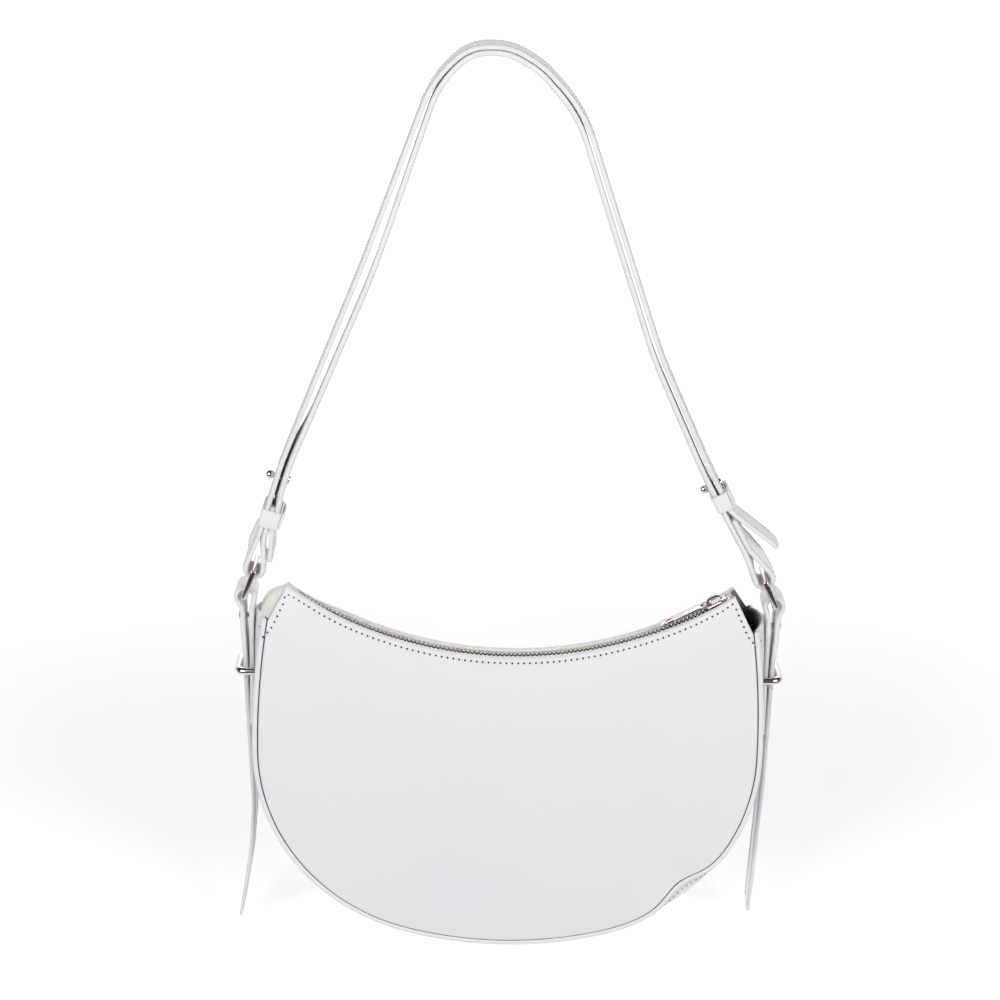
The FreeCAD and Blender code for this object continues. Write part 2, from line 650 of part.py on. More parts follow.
def side_tab(rod_x):
    """Side tab on the right: from the gusset up round the ring's lower rod, down through the side loop."""
    top = ROD_Z + ROD_RADIUS + ROD_CLEARANCE + TAB_THICKNESS / 2
    end = TAIL_HINGE_Z + TAB_THICKNESS / 2 + TAIL_GAP
    middle = (rod_x, top - TAB_LOOP_RADIUS)
    inner = loop_corner((TAB_INNER_X, TAB_WAIST_Z), middle, TAB_LOOP_RADIUS, top, 1)
    outer = loop_corner((TAB_OUTER_X, TAB_WAIST_Z), middle, TAB_LOOP_RADIUS, top, -1)
    route = (
        (TAB_END_X, TAB_END_Z, 0.0),
        (TAB_INNER_X, TAB_WAIST_Z, TAB_BEND),
        (inner, top, TAB_LOOP_RADIUS),
        (outer, top, TAB_LOOP_RADIUS),
        (TAB_OUTER_X, TAB_WAIST_Z, TAB_BEND),
        (TAB_OUTER_X, RIVET_Z - TAB_BEND_BELOW_RIVET, TAB_BEND),
        (TAIL_X, SIDE_LOOP_Z + TAB_BEND_ABOVE_LOOP, TAB_BEND),
        (TAIL_X, end, 0.0),
    )
    tab = strip(route, TAB_THICKNESS, STRIP_WIDTH)
    far = V(PAST, 0, 0)
    spot = V(TAB_INNER_X, 0, RIVET_Z)
    hole = rod(spot - far, spot + far, RIVET_RADIUS + RIVET_HOLE_GAP)
    return tab.cut(hole).Solids[0]


def tab_rivet():
    """Rivet through both layers of the right tab, and the cap on its inner end."""
    inner = TAB_INNER_X - TAB_THICKNESS / 2 - SOFT_GAP
    outer = TAB_OUTER_X + TAB_THICKNESS / 2 + RIVET_HOLE_GAP
    shank = rod(V(inner, 0, RIVET_Z), V(outer, 0, RIVET_Z), RIVET_RADIUS)
    head = rod(V(outer, 0, RIVET_Z), V(outer + RIVET_HEAD_RISE, 0, RIVET_Z), RIVET_HEAD_RADIUS)
    rim = [edge for edge in head.Edges if abs(edge.CenterOfMass.x - outer - RIVET_HEAD_RISE) < SAME_PLACE]
    head = head.makeFillet(RIVET_HEAD_ROUND, rim)
    cap = rod(V(inner - RIVET_CAP_RISE, 0, RIVET_Z), V(inner, 0, RIVET_Z), RIVET_HEAD_RADIUS)
    return shank.fuse(head).removeSplitter().Solids[0], cap


def tail(sign, route):
    """Free tail of a side tab, hanging from its hinge below the side loop."""
    x, z = tilted(sign * TAIL_X, TAIL_HINGE_Z)
    spots = [(x, z, 0.0)] + [(x + dx, z + dz, bend) for dx, dz, bend in route]
    shape = strip(spots, TAB_THICKNESS, STRIP_WIDTH, round_start=True)
    return round_tip(shape, spots[-1], STRIP_WIDTH)


def ring(side):
    """Metal ring: two round rods in the leather loops and two flat bars beside them."""
    inner = HALF_STRIP + RING_SIDE_GAP
    outer = inner + RING_BAR_THICKNESS
    rods = [rod(end - ACROSS * outer, end + ACROSS * outer, ROD_RADIUS) for end in (side.low, side.rod)]
    run = side.rod - side.low
    run.normalize()
    over = V(run.z, 0, -run.x) * (RING_BAR_WIDTH / 2)
    corners = [side.low - over, side.low + over, side.rod + over, side.rod - over]
    face = Part.Face(Part.makePolygon(corners + corners[:1]))
    bar = face.extrude(ACROSS * RING_BAR_THICKNESS)
    bars = [bar.translated(ACROSS * inner), bar.translated(ACROSS * -outer)]
    return rods[0].fuse([rods[1]] + bars).removeSplitter().Solids[0]


def loop_end(side, return_end):
    """Route of the strap's end from its return leg round the ring's rod to the main leg."""
    low = -(ROD_RADIUS + ROD_CLEARANCE + STRAP_THICKNESS / 2)
    middle = (0, low + STRAP_LOOP_RADIUS)
    near = loop_corner((0, STRAP_LOOP_NECK), middle, STRAP_LOOP_RADIUS, low, 1)
    far = loop_corner((-LAYER_STEP, STRAP_LOOP_NECK), middle, STRAP_LOOP_RADIUS, low, -1)
    return [
        side.spot(return_end, 0),
        side.spot(STRAP_LOOP_NECK, 0, STRAP_NECK_BEND),
        side.spot(low, near, STRAP_LOOP_RADIUS),
        side.spot(low, far, STRAP_LOOP_RADIUS),
        side.spot(STRAP_LOOP_NECK, -LAYER_STEP, STRAP_NECK_BEND),
    ]


def left_free_end():
    """Route of the inner strap's loose end, from its tip past the return leg to where it lies close."""
    jog = LEFT_RETURN_END + LAYER_JOG_START
    return [
        LEFT.spot(*LEFT_END_TIP),
        LEFT.spot(LEFT_END_BEND[0], LAYER_STEP, LEFT_END_BEND[1]),
        LEFT.spot(jog, LAYER_STEP, LAYER_JOG_BEND),
        LEFT.spot(jog + LAYER_JOG_LENGTH, LEFT.close, LAYER_JOG_BEND),
    ]


def right_free_end():
    """Route of the outer strap's loose end, from where it lies close to its tip that stands out."""
    return [
        RIGHT.spot(RIGHT_END_BEND[0], RIGHT.close, RIGHT_END_BEND[1]),
        RIGHT.spot(*RIGHT_END_TIP),
    ]


def top_route(sign):
    """Route over the top, outside the middle line for sign 1 and inside it for sign -1."""
    first = LEFT.point(LEFT_LEG_LENGTH, LEFT.middle)
    last = RIGHT.point(RIGHT_LEG_LENGTH, RIGHT.middle)
    spots = [first] + [V(x, 0, z) for x, z, bend, step in STRAP_TOP_ROUTE] + [last]
    route = []
    for index, (x, z, bend, step) in enumerate(STRAP_TOP_ROUTE, 1):
        into = (spots[index] - spots[index - 1]).normalize()
        out = (spots[index + 1] - spots[index]).normalize()
        normal = V(-into.z - out.z, 0, into.x + out.x).normalize()
        place = spots[index] + normal * (sign * step / math.sqrt((1 + into.dot(out)) / 2))
        turn = into.x * out.z - into.z * out.x
        route.append((place.x, place.z, bend - sign * step * math.copysign(1, turn)))
    left_w = -LAYER_STEP if sign > 0 else LEFT.close
    right_w = RIGHT.close if sign > 0 else -LAYER_STEP
    begin = LEFT.spot(LEFT_LEG_LENGTH, left_w, LEFT_LEG_BEND)
    finish = RIGHT.spot(RIGHT_LEG_LENGTH, right_w, RIGHT_LEG_BEND)
    return [begin] + route + [finish]


def straps():
    """Outer strap, looped at the left ring, and inner strap, looped at the right ring."""
    outer_route = loop_end(LEFT, LEFT_RETURN_END) + top_route(1) + right_free_end()
    inner_route = left_free_end() + top_route(-1) + loop_end(RIGHT, RIGHT_RETURN_END)[::-1]
    outer = round_tip(strip(outer_route, STRAP_THICKNESS, STRIP_WIDTH), outer_route[-1], STRIP_WIDTH)
    inner = round_tip(strip(inner_route, STRAP_THICKNESS, STRIP_WIDTH), inner_route[0], STRIP_WIDTH)
    neck_room = STUD_NECK_RADIUS + STUD_HOLE_GAP
    screw_room = STUD_SCREW_RADIUS + STUD_HOLE_GAP
    outer = outer.cut([
        LEFT.pin(LEFT_STUD_AT, (-STUD_HOLE_REACH, LEFT.middle), neck_room),
        RIGHT.pin(RIGHT_STUD_AT, (RIGHT.middle, STUD_HOLE_REACH), screw_room),
    ])
    inner = inner.cut([
        LEFT.pin(LEFT_STUD_AT, (LEFT.middle, STUD_HOLE_REACH), screw_room),
        RIGHT.pin(RIGHT_STUD_AT, (-STUD_HOLE_REACH, RIGHT.middle), neck_room),
    ])
    return outer.Solids[0], inner.Solids[0]


def stud(side, at):
    """Ball stud that buttons through the looped layer, and the screw that holds it to the other layer."""
    face = LAYER_STEP + STRAP_THICKNESS / 2
    ball_w = -(face + STUD_BALL_STANDOFF + STUD_BALL_RADIUS)
    seat = side.close - STRAP_THICKNESS / 2 - STUD_HOLE_GAP / 2
    ball = Part.makeSphere(STUD_BALL_RADIUS, side.point(at, ball_w))
    neck = side.pin(at, (ball_w, seat), STUD_NECK_RADIUS)
    base = side.pin(at, (seat - STUD_BASE_THICKNESS, seat), STUD_BASE_RADIUS)
    deep = seat - STUD_SCREW_DEPTH - STUD_HOLE_GAP
    bore = side.pin(at, (deep, seat + STUD_BORE_PAST), STUD_SCREW_RADIUS + STUD_SCREW_GAP)
    head_w = side.close + STRAP_THICKNESS / 2 + STUD_HOLE_GAP / 2
    screw = side.pin(at, (seat - STUD_SCREW_DEPTH, head_w + STUD_SCREW_HEAD), STUD_SCREW_RADIUS)
    head = side.pin(at, (head_w, head_w + STUD_SCREW_HEAD), STUD_SCREW_HEAD_RADIUS)
    body = ball.fuse([neck, base]).cut(bore).removeSplitter().Solids[0]
    return body, screw.fuse(head).removeSplitter().Solids[0]


def keeper(side, at, far_layer):
    """Leather keeper round the layers of the strap, from the looped layer to the far one."""
    room = STRAP_THICKNESS / 2 + KEEPER_CLEARANCE
    low_w, high_w = -LAYER_STEP - room, far_layer + room
    half_y = HALF_STRIP + KEEPER_CLEARANCE
    along = (at - KEEPER_LENGTH / 2, at + KEEPER_LENGTH / 2)
    past = (at - KEEPER_LENGTH, at + KEEPER_LENGTH)
    wall_y = half_y + KEEPER_WALL
    outside = side.block(along, (low_w - KEEPER_WALL, high_w + KEEPER_WALL), (-wall_y, wall_y))
    return outside.cut(side.block(past, (low_w, high_w), (-half_y, half_y))).Solids[0]


hang_x = (STRAP_TOP_ROUTE[2][0] + STRAP_TOP_ROUTE[3][0]) / 2
hang_z = STRAP_TOP_ROUTE[2][1] - STRAP_TOP_ROUTE[2][3] - STRAP_THICKNESS / 2


def export(name, shape, on_bag):
    """Tilt what is on the bag, move the hang point to the origin and write the solid."""
    placed = shape.rotated(V(0, 0, TILT_CENTRE_Z), ACROSS, BAG_TILT) if on_bag else shape.copy()
    placed.translate(V(-hang_x, 0, -hang_z))
    placed.exportStep(os.path.join("parts", name + ".step"))


front_panel = panel()
front_lining, gusset_lining = linings()
front_tape = zip_tape()
front_teeth = zip_teeth()
right_rivet, right_cap = tab_rivet()
right_loop = side_loop()
bag_pieces = {
    "front_panel": front_panel,
    "back_panel": to_back(front_panel),
    "gusset": gusset(),
    "front_lining": front_lining,
    "back_lining": to_back(front_lining),
    "gusset_lining": gusset_lining,
    "front_zip_tape": front_tape,
    "back_zip_tape": to_back(front_tape),
    "front_zip_teeth": front_teeth,
    "back_zip_teeth": to_back(front_teeth),
    "zip_stops": zip_stops(),
    "zip_end": zip_end(),
    "zip_slider": zip_slider(),
    "zip_pull": zip_pull(),
    "right_side_tab": side_tab(RIGHT_ROD_X),
    "left_side_tab": to_left(side_tab(LEFT_ROD_X)),
    "right_tab_rivet": right_rivet,
    "left_tab_rivet": to_left(right_rivet),
    "right_tab_rivet_cap": right_cap,
    "left_tab_rivet_cap": to_left(right_cap),
    "right_side_loop": right_loop,
    "left_side_loop": to_left(right_loop),
}
outer_strap, inner_strap = straps()
left_stud, left_stud_screw = stud(LEFT, LEFT_STUD_AT)
right_stud, right_stud_screw = stud(RIGHT, RIGHT_STUD_AT)
strap_pieces = {
    "outer_strap": outer_strap,
    "inner_strap": inner_strap,
    "left_stud": left_stud,
    "left_stud_screw": left_stud_screw,
    "right_stud": right_stud,
    "right_stud_screw": right_stud_screw,
    "left_keeper": keeper(LEFT, LEFT_KEEPER_AT, LAYER_STEP),
    "right_keeper": keeper(RIGHT, RIGHT_KEEPER_AT, RIGHT.close),
    "left_ring": ring(LEFT),
    "right_ring": ring(RIGHT),
    "left_tail": tail(-1, LEFT_TAIL_ROUTE),
    "right_tail": tail(1, RIGHT_TAIL_ROUTE),
}
for name, shape in bag_pieces.items():
    export(name, shape, True)
for name, shape in strap_pieces.items():
    export(name, shape, False)
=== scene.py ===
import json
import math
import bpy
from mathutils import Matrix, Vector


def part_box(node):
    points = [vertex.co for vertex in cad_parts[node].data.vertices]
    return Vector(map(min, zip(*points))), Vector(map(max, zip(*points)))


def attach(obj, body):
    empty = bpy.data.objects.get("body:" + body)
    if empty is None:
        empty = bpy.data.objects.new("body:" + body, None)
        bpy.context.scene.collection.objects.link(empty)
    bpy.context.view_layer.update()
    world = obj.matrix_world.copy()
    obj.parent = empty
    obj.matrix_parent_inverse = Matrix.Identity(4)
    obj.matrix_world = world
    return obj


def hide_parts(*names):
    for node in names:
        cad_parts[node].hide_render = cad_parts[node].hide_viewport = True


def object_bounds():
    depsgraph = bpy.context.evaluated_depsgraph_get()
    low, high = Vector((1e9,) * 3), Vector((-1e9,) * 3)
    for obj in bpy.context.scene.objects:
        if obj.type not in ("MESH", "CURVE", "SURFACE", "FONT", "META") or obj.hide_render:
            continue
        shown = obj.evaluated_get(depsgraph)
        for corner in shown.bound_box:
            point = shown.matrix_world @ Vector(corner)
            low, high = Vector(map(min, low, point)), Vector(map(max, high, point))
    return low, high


bl_info = {
    "name": "Half moon bag",
    "version": (1, 0, 0),
    "blender": (4, 5, 0),
    "location": "View3D > Sidebar > Half moon bag",
    "description": "Dresses the packed half moon bag with leather, thread, zip and metal",
    "category": "Object",
}

import bmesh
import bpy
import numpy as np
from bpy.props import FloatProperty, FloatVectorProperty, PointerProperty
from mathutils import Vector

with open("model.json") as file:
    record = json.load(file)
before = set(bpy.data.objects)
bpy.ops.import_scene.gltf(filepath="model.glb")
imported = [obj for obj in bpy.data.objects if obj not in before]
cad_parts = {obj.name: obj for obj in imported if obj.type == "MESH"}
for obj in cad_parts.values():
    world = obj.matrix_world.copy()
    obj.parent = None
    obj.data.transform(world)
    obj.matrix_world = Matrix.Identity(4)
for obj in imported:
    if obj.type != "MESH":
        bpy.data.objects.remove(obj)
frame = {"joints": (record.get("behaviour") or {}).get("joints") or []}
CAD_LOW, CAD_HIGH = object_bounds()

MM = 0.001
JOINTS = {joint["name"]: joint for joint in frame["joints"]}
SIDES = (("left", -1), ("right", 1))
UP = np.array([0.0, 0.0, 1.0])
ACROSS = np.array([0.0, 1.0, 0.0])
SQUARE = np.eye(3)
SHARP_ANGLE = math.radians(50)

# The bag's own frame has X from its middle, Y to the back and Z up from its lowest point
HANG_SHIFT = np.array([9.0, 0.0, -496.2]) * MM
BAG_TILT = math.radians(1.2)
TILT_CENTRE = 130.0 * MM

# Wear of the mouth: how far out from the middle each form sets in and is full
GAPE_FROM, GAPE_FULL = 60 * MM, 120 * MM
PINCH_FROM, PINCH_FULL = 90 * MM, 120 * MM
SAG_FROM, SAG_FULL, SAG_FADE = 85 * MM, 118 * MM, 12 * MM
# How fast the half depth grows below the mouth
DEPTH_SLOPE = 0.06

# Dent at the lower right: its place along the seam from the middle of the bottom, and the hollow above it
DENT_AT, DENT_REACH = 111 * MM, 16.5 * MM
HOLLOW_X, HOLLOW_Z, HOLLOW_WIDE, HOLLOW_TALL = 92 * MM, 41 * MM, 24 * MM, 17 * MM
HOLLOW_SHARE, EDGE_SHARE = 0.6, 0.24

# Panel's grid: columns from the middle to an end, and rows close to the upper edge and to the seam
PANEL_COLUMNS, PANEL_ROWS = 92, 44
LAST_COLUMN = 0.985
END_GAPS = np.array([1.3, 0.8, 0.45, 0.2, 0]) * MM / (130 * MM)
TOP_GAPS = np.array([0.0, 0.12, 0.35, 0.7, 1.3]) * MM
SEAM_GAPS = np.array([2.2, 1.6, 1.0, 0.5, 0.2, 0.0]) * MM
CUT_ROLL = 0.7 * MM
PUCKER, PUCKER_LENGTH, PUCKER_START = 0.3 * MM, 21 * MM, 1.3
BARE_ROWS = 6
NOTCH_FROM = 0.95

# Gusset's edge from the groove to the outer face: millimetres in from the seam, and share of the roll
GUSSET_EDGE = ((2.6, -0.45), (1.5, 0.13), (0.95, 0.30), (0.8, 0.50),
               (0.95, 0.70), (1.5, 0.86), (2.7, 0.95), (4.5, 1.0))
LIP_CURVE, LIP_FLARE, LIP_ROUND = 0.4 * MM, 3.8 * MM, 1.4 * MM
LIP_FROM, LIP_RISE_FROM = 0.86, 0.94
FINE_FROM, FINE_SECTIONS, GUSSET_SECTIONS = 0.9, 16, 190
INNER_SHARE, TURNED_SHARE, TURNED_WALL = 0.985, 0.08, 0.1 * MM
SEWN_SHARE, SEWN_CURVE = 0.93, 0.5 * MM
LIP_STITCH, LIP_STITCH_FLARE = 5.2 * MM, 3.7 * MM
# Share of the half depth from which the gusset's front edge is drawn along with the dent, and fully so
DRAWN_FROM, DRAWN_FULL = 0.72, 0.93

# Stitch row of a panel: how far below the notch it starts, and its corner at the notch's foot
ROW_BELOW, ROW_CORNER_IN, ROW_CORNER_DOWN, ROW_BEND = 5.0 * MM, 1.3, 1.5 * MM, 3.5 * MM
# Threads as shares of their radius: how they lie, and how they thin and dip at their ends
THREAD_SUNK, THREAD_UP, THREAD_THINS, THREAD_DIPS = -0.85, 0.5, 0.45, 0.9
THREAD_PLACES, THREAD_SIDES = (-1.0, -0.75, -0.35, 0.0, 0.35, 0.75, 1.0), 6
# Needle holes: the share left free of thread, and share of the radius and height of the dark disc of painted
# shade in them, from its middle by its rim to its underside
HOLE_FREE = 0.8
HOLE_SHADE_DISC = ((0.1, 0.07 * MM), (1.0, 0.03 * MM), (0.5, -0.25 * MM))

# Linings: distance below the mouth, behind the panels and inside the gusset
LINING_DROP, LINING_BEHIND, LINING_INSET = 7 * MM, 4.3 * MM, 0.9 * MM
LINING_THICK, LINING_RIPPLE = 0.5 * MM, 0.6 * MM
RIPPLE_ACROSS, RIPPLE_DOWN = 13 * MM, 17 * MM
BAND_BEHIND, BAND_BELOW = 4.6 * MM, 0.5 * MM

# Tapes: gap to the panel and the bead at the edge, which is at most a share of the tape's width
TAPE_GAP, BEAD, BEAD_SHARE = 0.3 * MM, 0.6 * MM, 0.3
# Folded end of the tapes: from the mouth's corner, 0, to the notch's foot, 1, and down behind the lip
FOLD_FROM, FOLD_TUCK, FOLD_TO = -0.3, 1.15, 1.75
TUCK_WAY, TUCK_LENGTH = np.array([0.05, -1.0]), 18 * MM
FOLD_LENGTH, FOLD_GAP, FOLD_SPARE = 19 * MM, 0.35 * MM, 1.05
# Its thickness, height at the corner, puff and fall, in millimetres
FOLD_THICK, FOLD_START, FOLD_PUFF, FOLD_FALL = 0.8, -0.6, 7.0, 0.8
# Zip teeth and their grips on the tapes
TOOTH_DROP, TOOTH_TALL, TOOTH_BEVEL = 0.45 * MM, 2.3 * MM, 0.35 * MM
GRIP_DROP, GRIP_INSET, GRIP_SHARE, GRIP_BEVEL = 0.4 * MM, 0.2 * MM, 1.05, 0.3 * MM
GRIP_DEEP, GRIP_TALL = 1.5 * MM, 2.5 * MM
# Stops: sizes, and pitches to the nearest tooth
STOP_LONG, STOP_TALL, STOP_DROP, STOP_BEVEL = 2.0 * MM, 2.4 * MM, 0.4 * MM, 0.5 * MM
LEFT_STOP_WIDE, RIGHT_STOP_WIDE, RIGHT_STOP_Y = 5.6 * MM, 2.4 * MM, 1.7 * MM
LEFT_STOP_GAP, RIGHT_STOP_GAP = 1.15, 1.1

# Slider on the zip: its inset from the mouth's corner, plates, keel, bridge and pull. Numbers without a
# unit are millimetres, apart from PLATE_TIP, the least share of a plate's width at its ends
SLIDER_INSET, SLIDER_DROP = 12.05 * MM, 1.75 * MM
SLIDER_HALF_LENGTH, SLIDER_NOSE, SLIDER_FLARE = 6.5, 3.4, 0.9
SLIDER_PLATES = ((-3.1, -1.9), (1.1, 2.3))
PLATE_BEVEL, PLATE_CROWN, PLATE_TIP = 0.35, 0.12, 0.35
KEEL_SPOT, KEEL_SIZES, KEEL_BEVEL = (4.5 * MM, 0, -0.4 * MM), (4 * MM, 0.5 * MM, 4.4 * MM), 0.1 * MM
BRIDGE_FOOT, BRIDGE_LOW, BRIDGE_RISE = 4.3, 1.7, 3.9
BRIDGE_SECTION = ((-0.6, -1.1), (-0.4, -1.4), (0.4, -1.4), (0.7, -1.0), (0.75, 0), (0.7, 1.0), (0.4, 1.4),
                  (-0.4, 1.4), (-0.6, 1.1))
PULL_PIVOT = np.array([-2.4, 0, 3.3]) * MM
PULL_LEAN = math.radians(5.0)
PULL_THICK, PULL_BEVEL = 1.4 * MM, 0.28 * MM
PIN_RADIUS, PIN_HALF = 0.75 * MM, 3.0 * MM
# Bars of the pull: from and to along it, from and to across it
PULL_BARS = ((-30, -26.8, -3.2, 3.2), (-28, -22, -3.2, -1.0), (-28, -22, 1.0, 3.2), (-23.2, -5.6, -3.2, 3.2),
             (-6.6, 0.75, -3.2, -2.0), (-6.6, 0.75, 2.0, 3.2))

# Strap over the top in the bag's frame, in millimetres: x, z, bend radius, half of the layers' spacing
STRAP_TOP = (
    (-72.6, 387.2, 400.0, 3.15),
    (-36.3, 483.7, 55.0, 1.7),
    (-18.5, 499.0, 22.0, 1.5),
    (0.5, 499.0, 28.0, 1.5),
    (16.5, 489.6, 45.0, 1.5),
    (36.3, 467.7, 75.0, 1.7),
    (78.4, 338.6, 250.0, 1.9),
)
# Free ends of the strap beside the rings: tips up and out from the rods, and where they bend away
LEFT_TIP, RIGHT_TIP = (7.6 * MM, 6.8 * MM), (14.7 * MM, 14.3 * MM)
LEFT_BEND_AT, RIGHT_BEND_AT, TIP_BEND = 26.5 * MM, 45 * MM, 15 * MM
JOG_GAP, JOG_LENGTH, JOG_BEND = 1.5 * MM, 8 * MM, 10 * MM
NECK_BEND, LEFT_LEG_BEND, RIGHT_LEG_BEND = 20 * MM, 200 * MM, 250 * MM
# Spread of the layers' back edges: where it grows and goes, in millimetres up the strap, and how far
SPREAD_REACH = 110 * MM
LOOP_SPREAD = ((3, 13, 20, 30), 2.4 * MM)
SLIT_SPREADS = (((34, 42, 72, 98), 2.0 * MM), ((34, 40, 42, 52), 1.2 * MM))
# Leather strips: round edges, crown of the faces, narrowing where they thin, ends of the stitch rows
STRIP_ROUND, STRIP_CROWN, STRIP_NARROWS = 0.42, 0.12 * MM, 0.6
EDGE_TURNS = np.radians((25, 50, 90, 130, 155))
ROW_END, THREAD_LIFT = 4 * MM, 0.03 * MM
STRAP_STEP, STRAP_TAPER = 1.6 * MM, 1.5 * MM
TAIL_STEP, TAIL_TAPER, TAIL_SLIM, TAIL_SPARE = 1.4 * MM, 2.5 * MM, 0.3, 0.5 * MM
# Places along the strap above the rings' rods
KEEPER_AT = {"left": 32.2 * MM, "right": 52.6 * MM}
STUD_AT = {"left": 53.8 * MM, "right": 60.8 * MM}
KEEPER_ROOM, KEEPER_CORNER = 0.35 * MM, 1.6 * MM
KEEPER_SECTION = ((-0.5, -0.3), (-0.5, 0.3), (-0.46, 0.5), (0.46, 0.5), (0.5, 0.3), (0.5, -0.3), (0.46, -0.5),
                  (-0.46, -0.5))
KEEPER_FLAP = ((-1, -0.4), (-1, 0.3), (-0.9, 0.45), (0.9, 0.45), (1, 0.3), (1, -0.4))
FLAP_RISE, FLAP_BULGE, FLAP_NARROW, FLAP_INSET = 0.95, 0.5, 0.9, 0.6 * MM

# Side tabs on the right of the bag's frame: the ring's lower rod and the line that the tab follows
TAB_ROD_X = {"left": 144.8267 * MM, "right": 144.0267 * MM}
TAB_ROD_Z, TAB_WAIST, TAB_INNER_X = 202.6 * MM, 193.0 * MM, 141.7267 * MM
TAB_OUTER_STEP, TAB_HANG_STEP, TAB_LOOP, TAB_BEND = 4.9 * MM, 3.7 * MM, 4.9 * MM, 12 * MM
# Inner leg below the waist as step in x, z and bend radius, and levels of the outer leg
TAB_INNER_LEG = ((0.75 * MM, 124 * MM, 0), (0.3 * MM, 147 * MM, 40 * MM))
TAB_OUTER_LOW, TAB_HANG_TOP, TAB_HANG_END = 181 * MM, 164.2 * MM, 153.7 * MM
TAB_STEP, TAB_SPARE = 0.9 * MM, 0.3 * MM
# Hanging tails in millimetres from their hinges: x, z, bend radius
TAILS = {
    "left": ((1.0, -80.5, 140.0), (-2.0, -110.0, 120.0), (-9.7, -152.5, 0.0)),
    "right": ((-2.0, -62.0, 300.0), (-6.8, -144.0, 0.0)),
}

# Metal fittings
RING_LEAN = {"left": math.radians(20.5), "right": math.radians(22.5)}
RING_LENGTH, ROD_RADIUS, ROD_INSET, BAR_INSET = 14.5 * MM, 1.7 * MM, 1.2 * MM, 1.4 * MM
BAR_SIZES, BAR_BEVEL = (3.1 * MM, 2.8 * MM, 18.0 * MM), 0.95 * MM
LOOP_RADIUS, LOOP_CORNER, LOOP_LIFT = 2.2 * MM, 4 * MM, 1.2 * MM
RIVET_HEAD, RIVET_RISE, RIVET_SHANK, CAP_SHANK = 3.0 * MM, 1.6 * MM, 1.6 * MM, 2.9 * MM
BALL_RADIUS, BALL_GAP, STUD_SEAT = 2.5 * MM, 0.15 * MM, 0.1 * MM
STUD_FOOT = np.array([(0.6, 0), (3.2, 0.02), (3.2, 0.6), (2.8, 0.8), (1.3, 0.9)]) * MM
STUD_NECK, STUD_TIP = 2.2 * MM, 0.05 * MM
SCREW = np.array([(1.0, -4.5), (1.0, 0), (2.4, 0), (2.4, 0.7), (2.0, 1.15), (1.2, 1.2), (0.9, 0.6)]) * MM

# Stage: the floor's glow near and away from the bag, the world's dark front and pale back, and the lamps
# as name, place and aim from the middle of the object, size and watts
FLOOR_GAP, FLOOR_HALF = 0.5 * MM, 40.0
GLOW_FROM, GLOW_FULL = 0.55, 1.3
GLOW_NEAR, GLOW_FAR = (0.31, 0.31, 0.32), (0.9, 0.9, 0.91)
WORLD_DARK, WORLD_PALE = (0.06, 0.052, 0.05), (1.05, 1.05, 1.07)
LAMPS = (
    ("key_light", (-1.1, -1.5, 0.68), (0.0, 0.0, 0.0), 1.1, 25.6),
    ("fill_light", (1.2, -1.4, 0.62), (0.0, 0.0, 0.0), 1.0, 23.8),
    ("back_light", (0.0, 3.4, 2.0), (0.0, 3.4, 0.0), 3.0, 40),
)
CAMERA_SPOT = (4.6 * MM, -1077.2 * MM, 164.0 * MM)
CAMERA_DROP = 20.5
SENSOR, FOCAL_SHARE = 36.0, 2.130


def size(label, says, millimetres):
    """A length that a user may change."""
    return FloatProperty(name=label, description=says, default=millimetres * MM, precision=5, unit="LENGTH")


def colour(label, says, rgb):
    """A colour that a user may change."""
    return FloatVectorProperty(name=label, description=says, default=rgb, min=0, max=1, subtype="COLOR")


class BodySizes(bpy.types.PropertyGroup):
    """Sizes of the bag's body."""
    half_width: size("Half width", "Middle of the bag to the seam at its widest", 138)
    corner_radius: size("Corner radius", "Seam at the lower corners", 111.6)
    bottom_radius: size("Bottom radius", "Seam along the bottom", 215)
    side_radius: size("Side radius", "Seam up the sides", 500)
    mouth_half_width: size("Mouth half width", "Middle of the bag to a corner of the mouth", 122.4)
    mouth_radius: size("Mouth radius", "Dipped upper edge", 210)
    mouth_low: size("Mouth height", "Lowest point of the upper edge", 167)
    notch: size("Notch height", "Lip of the gusset at both sides", 190.6)
    left_notch_drop: size("Left notch drop", "How far the left notch is worn down", 1.6)
    right_notch_drop: size("Right notch drop", "How far the right notch is worn down", 3.6)
    pinch: size("Pinch", "How far the mouth is pinched shut at the left corner", 2.4)
    gape: size("Gape", "How far the mouth stands open at the right corner", 1.2)
    back_sag: size("Back sag", "How far the back panel sinks at the left corner", 2.0)
    mouth_depth: size("Mouth half depth", "Half depth at the upper edge", 7)
    shoulder_depth: size("Shoulder depth", "Half depth that the shoulder adds", 12)
    shoulder: size("Shoulder length", "How fast the shoulder swells", 24)
    panel: size("Panel thickness", "Leather of the front and back", 2)
    gusset_out: size("Gusset roll", "How far the gusset stands outside the seam", 3.6)
    gusset_wall: size("Gusset wall", "Leather and stiffener of the gusset", 3.2)
    seam_roll: size("Seam roll", "Radius of the turned edges at the seam", 1.8)
    dent: size("Dent", "Depth of the soft dent at the lower right", 5.0)
    crown: size("Crown", "How far the panels puff out between their seams", 1.2)


class ZipSizes(bpy.types.PropertyGroup):
    """Sizes of the zip."""
    tape_drop: size("Tape drop", "Tape below the upper edge", 2.0)
    end_inset: size("Tape inset", "Tape's end to the mouth's corner", 2.8)
    pitch: size("Tooth pitch", "Tooth to tooth", 2.4)
    reach: size("Tooth reach", "Tooth from its tip to the tape", 2.5)
    tooth: size("Tooth length", "Along the chain", 1.35)
    slot: size("Chain slot", "Half of the room for the slider's keel", 0.4)
    left_inset: size("Left chain inset", "First tooth to the mouth's left corner", 6.9)
    right_inset: size("Right chain inset", "Last tooth to the mouth's right corner", 7.6)


